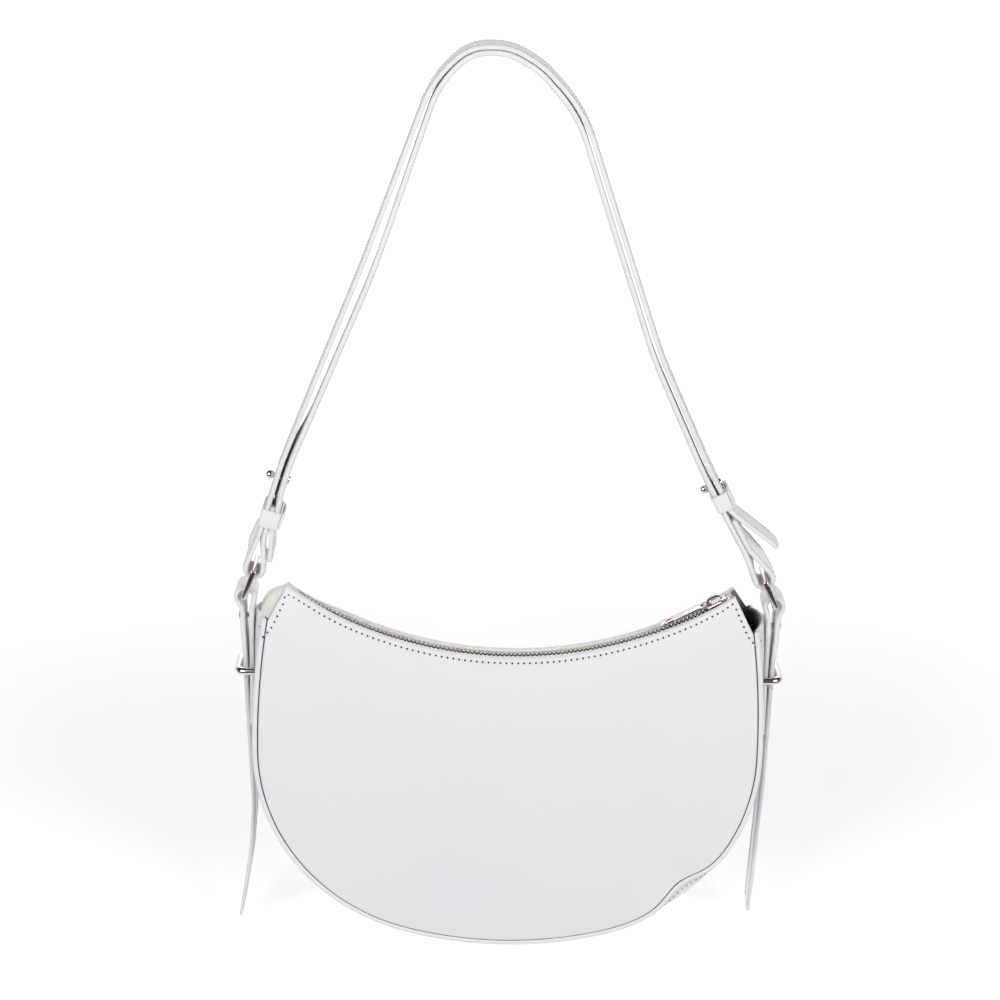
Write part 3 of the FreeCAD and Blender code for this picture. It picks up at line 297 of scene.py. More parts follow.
class StrapSizes(bpy.types.PropertyGroup):
    """Sizes of the straps, tabs and keepers."""
    width: size("Strap width", "Straps, tabs and tails", 18)
    strap: size("Strap thickness", "Shoulder strap's leather", 2.6)
    tab: size("Tab thickness", "Side tabs and tails", 2.8)
    layer: size("Layer step", "Middle of one layer to the next", 2.85)
    left_half_step: size("Left half step", "Half of the layers' spacing at the left", 2.3)
    right_half_step: size("Right half step", "Half of the layers' spacing at the right", 1.9)
    loop: size("Strap loop", "Radius round the ring's rod", 4.8)
    neck: size("Loop neck", "Rod to where the loop closes", 20)
    rod: size("Rod room", "Rod's radius and the leather's clearance", 2.05)
    left_leg: size("Left leg", "Straight run above the left ring", 64.1)
    right_leg: size("Right leg", "Straight run above the right ring", 71)
    left_return: size("Left return", "Looped end's length at the left", 38.4)
    right_return: size("Right return", "Looped end's length at the right", 40)
    keeper: size("Keeper length", "Along the strap", 10)
    keeper_wall: size("Keeper wall", "Keeper's leather", 1.2)


class StitchSizes(bpy.types.PropertyGroup):
    """Sizes of the stitching."""
    pitch: size("Stitch pitch", "Hole to hole on the panels", 3.25)
    thread: size("Thread radius", "Sewing thread", 0.24)
    hole: size("Hole radius", "Needle hole", 0.6)
    strap_pitch: size("Strap stitch pitch", "Hole to hole on the straps", 1.95)
    edge: size("Edge inset", "Stitch row to the upper edge", 2.6)
    strap_thread: size("Strap thread radius", "Thread that stands up on the straps", 0.36)
    strap_edge: size("Strap inset", "Stitch row to the strap's edge", 1.9)


class Finishes(bpy.types.PropertyGroup):
    """Colours of the bag."""
    leather: colour("Leather", "White smooth leather", (0.80, 0.80, 0.81))
    leather_shade: colour("Leather shade", "Faint cloudiness of the leather", (0.755, 0.755, 0.79))
    edge: colour("Edge paint", "Painted edges of the straps", (0.70, 0.71, 0.72))
    # Painted shade: near black on the gusset's turned edges deep in the seam, standing for the shade in the
    # groove
    groove_shade: colour("Raw edge", "Turned edges deep in the seam", (0.06, 0.06, 0.065))
    thread: colour("Thread", "Sewing thread", (0.78, 0.78, 0.79))
    # Painted shade: near black on the discs in the needle holes, standing for the shade inside them
    hole: colour("Needle hole", "Inside of the needle holes", (0.05, 0.05, 0.055))
    lining: colour("Lining", "Lining inside the bag", (0.035, 0.035, 0.04))
    suede: colour("Suede side", "Inner side of the leather", (0.3, 0.3, 0.31))
    tape: colour("Zip tape", "Cream woven tape", (0.86, 0.85, 0.81))
    metal: colour("Metal", "Pale warm nickel", (0.75, 0.69, 0.65))
    # Painted shade: the same nickel darkened on the zip teeth, standing for the shade between the packed
    # teeth
    teeth: colour("Zip teeth", "Darker nickel of the zip teeth", (0.47, 0.43, 0.40))
    floor: colour("Floor", "Plain pale floor", (0.92, 0.92, 0.92))


class Shade:
    """One output in a node tree. Arithmetic on it adds Math nodes."""

    def __init__(self, tree, output=None):
        self.tree = tree
        self.output = output

    def node(self, kind, settings=None, inputs=None, out=0):
        """Add a node, set its settings, then give its sockets their values or links."""
        made = self.tree.nodes.new(kind)
        for key, value in (settings or {}).items():
            setattr(made, key, value)
        for key, value in (inputs or {}).items():
            if isinstance(value, Shade):
                self.tree.links.new(value.output, made.inputs[key])
            else:
                made.inputs[key].default_value = value
        return Shade(self.tree, made.outputs[out] if made.outputs else None)

    def math(self, operation, *others):
        """A Math node with this value first."""
        return self.node("ShaderNodeMath", {"operation": operation}, dict(enumerate((self, *others))))

    def mix(self, first, second):
        """Mix two colours, with this value as the share of the second."""
        ends = [value if isinstance(value, Shade) else (*value, 1) for value in (first, second)]
        return self.node("ShaderNodeMix", {"data_type": "RGBA"}, {0: self, 6: ends[0], 7: ends[1]}, out=2)

    def ramp(self, low, high):
        """Smooth share of this value from low to high."""
        ends = {0: self, 1: low, 2: high, 3: 0.0, 4: 1.0}
        return self.node("ShaderNodeMapRange", {"interpolation_type": "SMOOTHSTEP"}, ends)

    def part(self, axis):
        """One part of a vector."""
        return self.node("ShaderNodeSeparateXYZ", inputs={0: self}, out=axis)

    def __add__(self, other):
        return self.math("ADD", other)

    def __sub__(self, other):
        return self.math("SUBTRACT", other)

    def __rsub__(self, other):
        return self.node("ShaderNodeMath", {"operation": "SUBTRACT"}, {0: other, 1: self})

    def __mul__(self, other):
        return self.math("MULTIPLY", other)

    __radd__ = __add__
    __rmul__ = __mul__


def place_on(maker):
    """Coordinates fixed to the piece, in metres."""
    return maker.node("ShaderNodeTexCoord", out=3)


def noise(maker, at, scale, detail=2.0):
    """Soft noise at a scale per metre."""
    return maker.node("ShaderNodeTexNoise", inputs={"Vector": at, "Scale": scale, "Detail": detail})


def bumped(maker, height, distance, strength):
    """Surface direction from a height."""
    return maker.node("ShaderNodeBump", inputs={"Height": height, "Distance": distance, "Strength": strength})


def dimmed(tone, share):
    """A colour made darker."""
    return tuple(share * value for value in tone)


def white_leather(maker, finish):
    """Smooth white leather with faint clouds, fine pores and soft creases."""
    at = place_on(maker)
    cloud = noise(maker, at, 9.0, 3.0)
    grain = noise(maker, at, 900.0, 3.0)
    cells = {"Vector": at, "Scale": 1500.0}
    pores = maker.node("ShaderNodeTexVoronoi", {"feature": "DISTANCE_TO_EDGE"}, cells)
    crease = noise(maker, at, 120.0, 4.0)
    height = pores * 0.35 + grain * 0.5 + crease * 1.4
    return {
        "Base Color": cloud.mix(finish.leather, finish.leather_shade),
        "Roughness": 0.36 + 0.16 * crease + 0.05 * cloud,
        "Normal": bumped(maker, height, 0.00005, 0.5),
        "Coat Weight": 0.08,
        "Coat Roughness": 0.3,
    }


def edge_paint(maker, finish):
    """Painted cut edge of a strap, slightly uneven."""
    wave = noise(maker, place_on(maker), 260.0, 3.0)
    return {
        "Base Color": wave.mix(finish.edge, finish.leather),
        "Roughness": 0.42 + 0.2 * wave,
        "Normal": bumped(maker, wave, 0.00012, 0.5),
    }


def dull(maker, tone, scale, rough):
    """Dull surface with a fine broken colour and bump."""
    fleck = noise(maker, place_on(maker), scale, 3.0)
    return {
        "Base Color": fleck.mix(dimmed(tone, 0.72), tone),
        "Roughness": rough + 0.1 * fleck,
        "Normal": bumped(maker, fleck, 0.0002, 0.6),
    }


def lining_cloth(maker, finish):
    """Plain weave of the lining."""
    at = place_on(maker)
    warp, weft = [(at.part(axis) * 9000.0).math("SINE") for axis in (0, 2)]
    weave = 0.5 + 0.25 * warp + 0.25 * weft
    return {
        "Base Color": weave.mix(dimmed(finish.lining, 0.6), finish.lining),
        "Roughness": 0.8 + 0.1 * weave,
        "Normal": bumped(maker, weave, 0.0001, 0.6),
    }


def herringbone(maker, finish):
    """Cream zip tape in herringbone, laid out along and across the tape."""
    laid = maker.node("ShaderNodeUVMap", {"uv_map": "tape"})
    zigzag = laid.part(1).math("PINGPONG", 1.4 * MM)
    slant = (laid.part(0) + zigzag) * (2 * math.pi / (1.25 * MM))
    ridge = 0.5 + 0.5 * slant.math("SINE")
    fleck = noise(maker, place_on(maker), 1200.0)
    return {
        "Base Color": (0.7 * ridge + 0.3 * fleck).mix(dimmed(finish.tape, 0.72), finish.tape),
        "Roughness": 0.75 + 0.1 * ridge,
        "Normal": bumped(maker, ridge + 0.3 * fleck, 0.00015, 0.7),
    }


def nickel(maker, tone):
    """Polished nickel with faint wear."""
    at = place_on(maker)
    haze = noise(maker, at, 400.0, 4.0)
    scratch = noise(maker, at, 2500.0)
    return {
        "Base Color": haze.mix(tone, dimmed(tone, 0.9)),
        "Metallic": 1.0,
        "Roughness": 0.10 + 0.10 * haze,
        "Normal": bumped(maker, scratch, 0.00001, 0.4),
    }


def pale_floor(maker, finish):
    """Plain pale floor with a faint fleck, lit from within more and more away from the bag."""
    spot = place_on(maker)
    fleck = noise(maker, spot, 3.0)
    away = maker.node("ShaderNodeVectorMath", {"operation": "LENGTH"}, {0: spot}, out=1)
    far = away.ramp(GLOW_FROM, GLOW_FULL)
    return {
        "Base Color": fleck.mix(finish.floor, dimmed(finish.floor, 0.99)),
        "Roughness": 0.7,
        "Emission Color": far.mix(GLOW_NEAR, GLOW_FAR),
        "Emission Strength": 1.0,
    }


PAINTS = {
    "white_leather": white_leather,
    "edge_paint": edge_paint,
    "lining_cloth": lining_cloth,
    "herringbone": herringbone,
    "pale_floor": pale_floor,
    "warm_nickel": lambda maker, finish: nickel(maker, finish.metal),
    # Nickel darkened as painted shade of the zip teeth
    "teeth_nickel_painted_shade": lambda maker, finish: nickel(maker, finish.teeth),
    "suede_side": lambda maker, finish: dull(maker, finish.suede, 700.0, 0.85),
    # Painted shade in the seam's groove
    "groove_edge_painted_shade": lambda maker, finish: dull(maker, finish.groove_shade, 900.0, 0.8),
    "sewing_thread": lambda maker, finish: dull(maker, finish.thread, 3000.0, 0.6),
    # Painted shade inside the needle holes
    "needle_hole_shade": lambda maker, finish: dull(maker, finish.hole, 2000.0, 0.85),
}
METAL = ["warm_nickel"]
STRIP = ["white_leather", "edge_paint", "sewing_thread"]


def material(name):
    """A material by its name, made when it is first asked for."""
    if name not in bpy.data.materials:
        made = bpy.data.materials.new(name)
        made.use_nodes = True
        made.node_tree.nodes.clear()
        maker = Shade(made.node_tree)
        paint = PAINTS[name](maker, bpy.context.scene.bag_finishes)
        surface = maker.node("ShaderNodeBsdfPrincipled", inputs=paint)
        maker.node("ShaderNodeOutputMaterial", inputs={"Surface": surface})
    return bpy.data.materials[name]


class Mesher:
    """Gathers the points and faces of one piece."""

    def __init__(self):
        self.points = []
        self.faces = []
        self.slots = []
        self.count = 0

    def add(self, points, faces, slot=0):
        """Add points and faces, with one material or one for each face."""
        points = np.asarray(points, float).reshape(-1, 3)
        self.faces += [tuple(index + self.count for index in face) for face in faces]
        self.slots += [slot] * len(faces) if isinstance(slot, int) else list(slot)
        self.points.append(points)
        self.count += len(points)

    def loft(self, sections, slot=0, closed=True, caps=True):
        """Skin over sections with the same number of points. Slot may give one material for each side."""
        sections = np.asarray(sections, float)
        rows, columns = sections.shape[:2]
        each = [slot] * columns if isinstance(slot, int) else slot
        faces, slots = [], []
        for row in range(rows - 1):
            for column in range(columns if closed else columns - 1):
                low, high = row * columns, (row + 1) * columns
                after = (column + 1) % columns
                faces.append((low + column, low + after, high + after, high + column))
                slots.append(each[column])
        if caps:
            faces += [tuple(range(columns))[::-1], tuple(range((rows - 1) * columns, rows * columns))]
            slots += [max(each)] * 2
        self.add(sections, faces, slots)

    def lathe(self, profile, base, axis, sides=40):
        """Round piece from (radius, height) pairs along an axis."""
        axis = unit(axis)
        over = unit(np.cross(axis, ACROSS if abs(axis[1]) < 0.9 else UP))
        circle = round_about(over, np.cross(axis, over), sides)
        self.loft([np.asarray(base) + axis * height + circle * radius for radius, height in profile])

    def tube(self, path, radius, flat, sides=20):
        """Round bar along points in a plane that faces flat."""
        rings = []
        for point, way in zip(path, tangents(path)):
            rings.append(point + radius * round_about(np.cross(flat, way), flat, sides))
        self.loft(rings)

    def block(self, centre, axes, sizes, bevel, segments=3):
        """Box with rounded edges: axes are three unit rows, sizes the whole lengths along them."""
        shape = bmesh.new()
        bmesh.ops.create_cube(shape, size=1.0)
        for vertex in shape.verts:
            vertex.co = [value * length for value, length in zip(vertex.co, sizes)]
        edges = shape.edges[:]
        bmesh.ops.bevel(shape, geom=edges, offset=bevel, segments=segments, profile=0.5, affect="EDGES")
        points = np.array([vertex.co for vertex in shape.verts])
        shape.verts.index_update()
        faces = [tuple(vertex.index for vertex in face.verts) for face in shape.faces]
        shape.free()
        self.add(np.asarray(centre) + points @ np.asarray(axes), faces)

    def copies(self, shape, spots, axes, slot=0):
        """The same small shape at many spots, each with three axes as rows."""
        template = np.concatenate(shape.points)
        points = spots[:, None, :] + np.einsum("pk,nkj->npj", template, axes)
        starts = range(0, len(template) * len(spots), len(template))
        faces = [tuple(index + start for index in face) for start in starts for face in shape.faces]
        self.add(points, faces, slot)

    def moved(self, move):
        """Move all points by a function."""
        self.points = [move(points) for points in self.points]

    def piece(self, name, materials, body, slot, uv=None):
        """Make the object, let it ride on its body and stand for its node."""
        mesh = bpy.data.meshes.new(name)
        mesh.from_pydata(np.concatenate(self.points).tolist(), [], self.faces)
        for kind in materials:
            mesh.materials.append(material(kind))
        mesh.polygons.foreach_set("material_index", self.slots)
        mesh.polygons.foreach_set("use_smooth", [True] * len(self.faces))
        if uv is not None:
            layer = mesh.uv_layers.new(name="tape")
            corners = np.zeros(len(mesh.loops), np.int32)
            mesh.loops.foreach_get("vertex_index", corners)
            layer.data.foreach_set("uv", np.asarray(uv, np.float32)[corners].ravel())
        shape = bmesh.new()
        shape.from_mesh(mesh)
        bmesh.ops.recalc_face_normals(shape, faces=shape.faces[:])
        shape.to_mesh(mesh)
        shape.free()
        mesh.set_sharp_from_angle(angle=SHARP_ANGLE)
        made = bpy.data.objects.new(name, mesh)
        bpy.context.scene.collection.objects.link(made)
        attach(made, body)
        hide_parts(name)
        return made


def unit(vector):
    """A direction of length one."""
    vector = np.asarray(vector, float)
    return vector / max(np.linalg.norm(vector), 1e-12)


def units(rows):
    """Rows of directions of length one."""
    return rows / np.linalg.norm(rows, axis=1)[:, None]


def tangents(path):
    """Unit directions along a row of points."""
    return units(np.gradient(np.asarray(path, float), axis=0))


def sideways(ways):
    """Directions in a plane after a quarter turn."""
    return np.stack([-ways[:, 1], ways[:, 0]], axis=1)


def round_about(over, other, sides):
    """Circle of radius one in the plane of two directions."""
    turns = np.linspace(0, 2 * math.pi, sides, endpoint=False)
    return np.outer(np.cos(turns), over) + np.outer(np.sin(turns), other)


def turned(angle):
    """Three axes as rows after a turn in the XZ plane."""
    over, rise = math.cos(angle), math.sin(angle)
    return np.array([(over, 0, rise), (0, 1, 0), (-rise, 0, over)])


def smoothstep(low, high, value):
    """Smooth share of a value from low to high."""
    share = np.clip((value - low) / (high - low), 0, 1)
    return share * share * (3 - 2 * share)


def upright(flat, y=0.0):
    """Points in space from points in the XZ plane and their y."""
    flat = np.asarray(flat, float)
    return np.stack([flat[..., 0], y + 0 * flat[..., 0], flat[..., 1]], axis=-1)


def placed(points):
    """Points of the bag's own frame in the shared frame."""
    points = np.array(points, float)
    x, up = points[..., 0].copy(), points[..., 2] - TILT_CENTRE
    points[..., 0] = x * math.cos(BAG_TILT) + up * math.sin(BAG_TILT)
    points[..., 2] = TILT_CENTRE - x * math.sin(BAG_TILT) + up * math.cos(BAG_TILT)
    return points + HANG_SHIFT


def gaps_along(rows):
    """Distances from each row of points to the next."""
    return np.linalg.norm(np.diff(rows, axis=0), axis=-1)


def distances(path):
    """Distance of each point along a path from its start."""
    return np.concatenate([[0], np.cumsum(gaps_along(path))])


def at_places(places, along, rows):
    """Rows of values at places along a path, between the ones that are known."""
    return np.stack([np.interp(places, along, column) for column in rows.T], axis=1)


def evenly(path, step):
    """Points at even steps along a row of points."""
    along = distances(path)
    places = np.linspace(0, along[-1], max(2, int(round(along[-1] / step)) + 1))
    return at_places(places, along, path)


def bent(spots, step):
    """Even points along straight runs joined by arcs, from (x, z, bend radius) spots."""
    spots = [(np.array(spot[:2], float), spot[2]) for spot in spots]
    path = [spots[0][0]]
    for (before, _), (corner, bend), (after, _) in zip(spots, spots[1:], spots[2:]):
        into, out = unit(corner - before), unit(after - corner)
        turn = math.atan2(into[0] * out[1] - into[1] * out[0], into @ out)
        start = corner - into * bend * math.tan(abs(turn) / 2)
        side = np.array([-into[1], into[0]]) * math.copysign(1, turn)
        across = np.array([-side[1], side[0]])
        for angle in turn * np.linspace(0, 1, max(3, int(abs(turn) * bend / step) + 2)):
            path.append(start + bend * (side - side * math.cos(angle) - across * math.sin(angle)))
    path.append(spots[-1][0])
    return evenly(np.array(path), step)


def stitch_row(mesher, spots, ways, ups, thread_slot, hole_shade_slot=None):
    """Threads from hole to hole along a row: sunk between open holes that hold dark discs of painted shade,
    or standing up where no hole shows.
    """
    sizes = bpy.context.scene.bag_stitches
    if hole_shade_slot is None:
        pitch, hole, lay, thick = sizes.strap_pitch, 0.0, THREAD_UP, sizes.strap_thread
    else:
        pitch, hole, lay, thick = sizes.pitch, sizes.hole, THREAD_SUNK, sizes.thread
    spots, ways = np.asarray(spots, float), units(np.asarray(ways, float))
    sides = units(np.cross(np.asarray(ups, float), ways))
    axes = np.stack([ways, sides, np.cross(ways, sides)], axis=1)
    reach = 0.5 * pitch - HOLE_FREE * hole
    turns = np.linspace(0, 2 * math.pi, THREAD_SIDES, endpoint=False)
    rings = []
    for share in THREAD_PLACES:
        fall = share ** 4
        radius = thick * (1 - THREAD_THINS * fall)
        lift = thick * (lay - THREAD_DIPS * fall)
        loop = [(radius * math.cos(turn), lift + radius * math.sin(turn)) for turn in turns]
        rings.append([(share * reach, y, z) for y, z in loop])
    thread = Mesher()
    thread.loft(rings)
    mesher.copies(thread, spots, axes, thread_slot)
    if hole_shade_slot is None:
        return
    # Dark disc in each open hole, as painted shade of the hole
    shade_disc = Mesher()
    shade_disc.lathe([(share * hole, height) for share, height in HOLE_SHADE_DISC], (0, 0, 0), UP, sides=10)
    mesher.copies(shade_disc, spots + ways * (0.5 * pitch), axes, hole_shade_slot)


class Outline:
    """Mouth, notches and seam of the bag in its own frame."""

    def __init__(self, worn=True):
        self.s = bpy.context.scene.bag_body
        s = self.s
        self.corner_x = s.half_width - s.corner_radius
        apart = s.bottom_radius - s.corner_radius
        self.widest = s.bottom_radius - math.sqrt(apart ** 2 - self.corner_x ** 2)
        self.corner_turn = math.atan2(s.bottom_radius - self.widest, self.corner_x)
        self.centre = s.mouth_low + s.mouth_radius
        self.mouth_turn = math.asin(s.mouth_half_width / s.mouth_radius)
        self.bottom_length = s.bottom_radius * (math.pi / 2 - self.corner_turn)
        self.corner_length = s.corner_radius * self.corner_turn
        side_length = s.side_radius * math.asin((s.notch - self.widest) / s.side_radius)
        self.half_seam = self.bottom_length + self.corner_length + side_length
        self.lowered = {-1: s.left_notch_drop * worn, 1: s.right_notch_drop * worn}

    def seam(self, share):
        """Point and outward direction of the seam, from -1 at the left notch by 0 at the bottom to 1."""
        s = self.s
        along = abs(share) * (self.half_seam - self.lowered[1 if share >= 0 else -1])
        if along < self.bottom_length:
            centre, radius = (0, s.bottom_radius), s.bottom_radius
            angle = along / radius - math.pi / 2
        elif along < self.bottom_length + self.corner_length:
            centre, radius = (self.corner_x, self.widest), s.corner_radius
            angle = (along - self.bottom_length) / radius - self.corner_turn
        else:
            centre, radius = (s.half_width - s.side_radius, self.widest), s.side_radius
            angle = (along - self.bottom_length - self.corner_length) / radius
        out = np.array([math.cos(angle), math.sin(angle)])
        point = np.array(centre) + radius * out
        return (point, out) if share >= 0 else (point * (-1, 1), out * (-1, 1))

    def mouth(self, share, drop=0.0):
        """Point below the upper edge, from -1 at its left corner to 1."""
        turn = share * self.mouth_turn
        radius = self.s.mouth_radius + drop
        return np.array([radius * math.sin(turn), self.centre - radius * math.cos(turn)])

    def below_mouth(self, x, z):
        """Distance of a point below the upper edge."""
        return np.hypot(x, z - self.centre) - self.s.mouth_radius

    def half_depth(self, x, z):
        """Half depth of the bag at a point of the panel."""
        s = self.s
        drop = self.below_mouth(x, z)
        held = s.gape * smoothstep(GAPE_FROM, GAPE_FULL, x) - s.pinch * smoothstep(PINCH_FROM, PINCH_FULL, -x)
        held = held * np.exp(-np.maximum(drop, 0) / s.shoulder)
        return s.mouth_depth + s.shoulder_depth * (1 - np.exp(-drop / s.shoulder)) + DEPTH_SLOPE * drop + held

    def facing(self, x, z, toward):
        """Outward directions of a panel at points of it, front for -1 and back for 1."""
        step = 0.2 * MM
        slope_x = (self.half_depth(x + step, z) - self.half_depth(x - step, z)) / (2 * step)
        slope_z = (self.half_depth(x, z + step) - self.half_depth(x, z - step)) / (2 * step)
        return np.stack([-slope_x, np.full(len(x), float(toward)), -slope_z], axis=1)

    def dent(self, share):
        """How much of the dent the seam takes at a place along it."""
        return np.exp(-((share * self.half_seam - DENT_AT) / DENT_REACH) ** 2)

    def sunk(self, x, z, shares, down):
        """How far the dent sinks the front, at points a share down the columns."""
        spot = np.hypot((x - HOLLOW_X) / HOLLOW_WIDE, (z - HOLLOW_Z) / HOLLOW_TALL)
        return self.s.dent * (HOLLOW_SHARE * np.exp(-spot ** 2) + EDGE_SHARE * self.dent(shares) * down ** 3)

    def sagged(self, x, z):
        """How far the back panel has sunk at a point, near the left corner of the mouth."""
        drop = np.maximum(self.below_mouth(x, z), 0)
        return self.s.back_sag * smoothstep(SAG_FROM, SAG_FULL, -x) * np.exp(-drop / SAG_FADE)


def quarter_roll(radius, distance):
    """Depth of a rounded edge at a distance from its outline."""
    inside = np.clip(radius - distance, 0, radius)
    return radius - np.sqrt(radius ** 2 - inside ** 2)


def panel_surface(outline, dented):
    """Points of a panel by column and row in its plane, their depth, and how far its edges roll in."""
    s = outline.s
    half = np.sort(np.concatenate([np.linspace(0, LAST_COLUMN, PANEL_COLUMNS), 1 - END_GAPS]))
    shares = np.concatenate([-half[:0:-1], half])
    middle = np.linspace(0, 1, PANEL_ROWS)[1:-1]
    away = np.ones(len(middle))
    near_top = np.concatenate([TOP_GAPS, away, np.ones(len(SEAM_GAPS))])
    near_seam = np.concatenate([np.ones(len(TOP_GAPS)), away, SEAM_GAPS])
    flat = []
    for share in shares:
        edge = outline.mouth(share)
        foot, out = outline.seam(share)
        if dented:
            foot = foot - out * s.dent * outline.dent(share)
        run = unit(foot - edge)
        toward_notch = smoothstep(NOTCH_FROM, 1.0, abs(share))
        inward = unit(-out * (1 - toward_notch) - run * toward_notch)
        top = [edge + run * drop for drop in TOP_GAPS]
        low = [foot + inward * gap for gap in SEAM_GAPS]
        flat.append(top + [top[-1] + (low[0] - top[-1]) * step for step in middle] + low)
    flat = np.array(flat)
    rolls = np.maximum(quarter_roll(CUT_ROLL, near_top), quarter_roll(s.seam_roll, near_seam))
    for end in (0, -1):
        rolls = np.maximum(rolls, quarter_roll(CUT_ROLL, np.linalg.norm(flat - flat[end], axis=2)))
    x, z = flat[..., 0], flat[..., 1]
    gone = np.cumsum(np.linalg.norm(np.diff(flat, axis=1), axis=2), axis=1)
    down = np.concatenate([np.zeros((len(flat), 1)), gone / gone[:, -1:]], axis=1)
    swell = np.sin(math.pi * down) ** 2 * ((1 - shares ** 2) ** 2)[:, None]
    depth = outline.half_depth(x, z) + swell * (s.crown + PUCKER * np.sin(x / PUCKER_LENGTH + PUCKER_START))
    if dented:
        depth = depth - outline.sunk(x, z, shares[:, None], down)
    return flat, depth, rolls


def panel_piece(name, toward):
    """Leather panel with turned edges at the seam, a cut edge at the top and a suede inner side.
    The front one, toward -1, is dented and worn down at its notches, and the back one sags."""
    front = toward < 0
    outline = Outline(worn=front)
    flat, depth, rolls = panel_surface(outline, front)
    spots = evenly(edge_stitch_path(outline), bpy.context.scene.bag_stitches.pitch)
    x, z = spots[:, 0], spots[:, 1]
    row = upright(spots, toward * outline.half_depth(x, z))
    ups = outline.facing(x, z, toward)
    outside = upright(flat, toward * (depth - rolls))
    inside = upright(flat, toward * (depth - outline.s.panel))
    if not front:
        row[:, 2] -= outline.sagged(x, z)
        for side in (outside, inside):
            side[..., 2] -= outline.sagged(flat[..., 0], flat[..., 1])
    mesher = Mesher()
    columns, rows = flat.shape[:2]
    mesher.loft(placed(outside), closed=False, caps=False)
    mesher.loft(placed(inside), [0] * BARE_ROWS + [1] * (rows - BARE_ROWS), closed=False, caps=False)
    count = columns * rows
    rim = [column * rows for column in range(columns)]
    rim += [(columns - 1) * rows + row_index for row_index in range(1, rows)]
    rim += [column * rows + rows - 1 for column in range(columns - 2, -1, -1)]
    rim += range(rows - 2, 0, -1)
    faces = [(a, b, b + count, a + count) for a, b in zip(rim, rim[1:] + rim[:1])]
    mesher.faces += faces
    mesher.slots += [0] * len(faces)
    stitch_row(mesher, placed(row), tangents(row), ups, 2, 3)
    materials = ["white_leather", "suede_side", "sewing_thread", "needle_hole_shade"]
    mesher.piece(name, materials, "bag", "panel_leather")


def edge_stitch_path(outline):
    """Stitch row inside the notches and the upper edge, from seam to seam, in the panel's plane."""
    inset = bpy.context.scene.bag_stitches.edge
    corner, foot = outline.mouth(1.0), outline.seam(1.0)[0]
    end = 1 - inset / (outline.mouth_turn * outline.s.mouth_radius)
    below = outline.seam(1 - ROW_BELOW / outline.half_seam)[0]
    low = foot - np.array([ROW_CORNER_IN * inset, 0]) + unit(foot - corner) * ROW_CORNER_DOWN
    side = bent([(*below, 0), (*low, ROW_BEND), (*outline.mouth(end, inset), 0)], 0.5 * MM)
    across = np.array([outline.mouth(share * end, inset) for share in np.linspace(1, -1, 400)[1:-1]])
    return np.concatenate([side, across, side[::-1] * (-1, 1)])


def gusset_section(outline, share, flare):
    """Closed outline of the gusset at one place: groove, roll, outer face, and back inside."""
    s = outline.s
    depth = outline.half_depth(*outline.seam(share)[0])
    roll = s.gusset_out
    reach = depth - GUSSET_EDGE[-1][0] * MM
    outer = [(-depth + back * MM, rise * roll) for back, rise in GUSSET_EDGE]
    outer += [(turn * reach, roll + flare * (1 - turn ** 2)) for turn in np.linspace(-1, 1, 15)[1:-1]]
    outer += [(depth - back * MM, rise * roll) for back, rise in reversed(GUSSET_EDGE)]
    inner = []
    for y, rise in outer:
        turned_in = min(TURNED_SHARE * roll, rise - TURNED_WALL)
        inner.append((y * INNER_SHARE, rise - s.gusset_wall if abs(y) < reach else turned_in))
    return np.array([by_the_dent(outline, share, y, rise) for y, rise in outer + inner[::-1]]), len(outer)


def by_the_dent(outline, share, y, rise):
    """Point of the gusset above the seam, drawn along with the panel where the dent lifts its edge."""
    point, out = outline.seam(share)
    lifted = outline.s.dent * outline.dent(share)
    drawn = smoothstep(DRAWN_FROM, DRAWN_FULL, -y / float(outline.half_depth(*point)))
    x, z = point + out * (rise - lifted * drawn)
    return x, y + outline.sunk(*(point - out * lifted), share, 1.0) * drawn, z


def lip_way(out):
    """Direction up along the seam, from its outward direction."""
    up = np.array([-out[1], 0, out[0]])
    return up * math.copysign(1, up[2])


def raised_lip(outline, share, loop):
    """The gusset's lip stands higher towards the back."""
    point, out = outline.seam(share)
    deep = loop[:, 1] / float(outline.half_depth(*point))
    near_end = smoothstep(LIP_RISE_FROM, 1.0, abs(share))
    rise = outline.lowered[1 if share > 0 else -1] * smoothstep(-0.8, 0.6, deep) * near_end
    return loop + rise[:, None] * lip_way(out)


def gusset_piece():
    """Rolled leather band round the side and bottom, with raised lips at both notches."""
    outline = Outline()
    lip = np.linspace(FINE_FROM, 1, FINE_SECTIONS)[1:]
    shares = np.concatenate([-lip[::-1], np.linspace(-FINE_FROM, FINE_FROM, GUSSET_SECTIONS), lip])
    sections = []
    for share in shares:
        flare = LIP_CURVE + LIP_FLARE * smoothstep(LIP_FROM, 1.0, abs(share))
        loop, half = gusset_section(outline, share, flare)
        sections.append(raised_lip(outline, share, loop))
    ends = []
    for index in (0, -1):
        up = lip_way(outline.seam(shares[index])[1])
        loop = sections[index]
        core = (loop[:half] + loop[half:][::-1]) / 2
        core = np.concatenate([core, core[::-1]])
        ends.append([core + (loop - core) * math.cos(turn) + up * LIP_ROUND * math.sin(turn)
                     for turn in np.radians((25, 50, 70, 85))])
    sections = ends[0][::-1] + sections + ends[1]
    mesher = Mesher()
    # Slot 1, on the turned edges deep in the groove, takes the painted shade of the seam
    mesher.loft(placed(sections), [1] + [0] * (half - 3) + [1] + [2] * half + [0], caps=False)
    for base in (0, (len(sections) - 1) * 2 * half):
        for column in range(half - 1):
            corners = (column, column + 1, 2 * half - 2 - column, 2 * half - 1 - column)
            mesher.faces.append(tuple(base + corner for corner in corners))
            mesher.slots.append(0)
    sew_gusset(mesher, outline)
    materials = ["white_leather", "groove_edge_painted_shade", "suede_side", "sewing_thread", "needle_hole_shade"]
    mesher.piece("gusset", materials, "bag", "panel_leather")


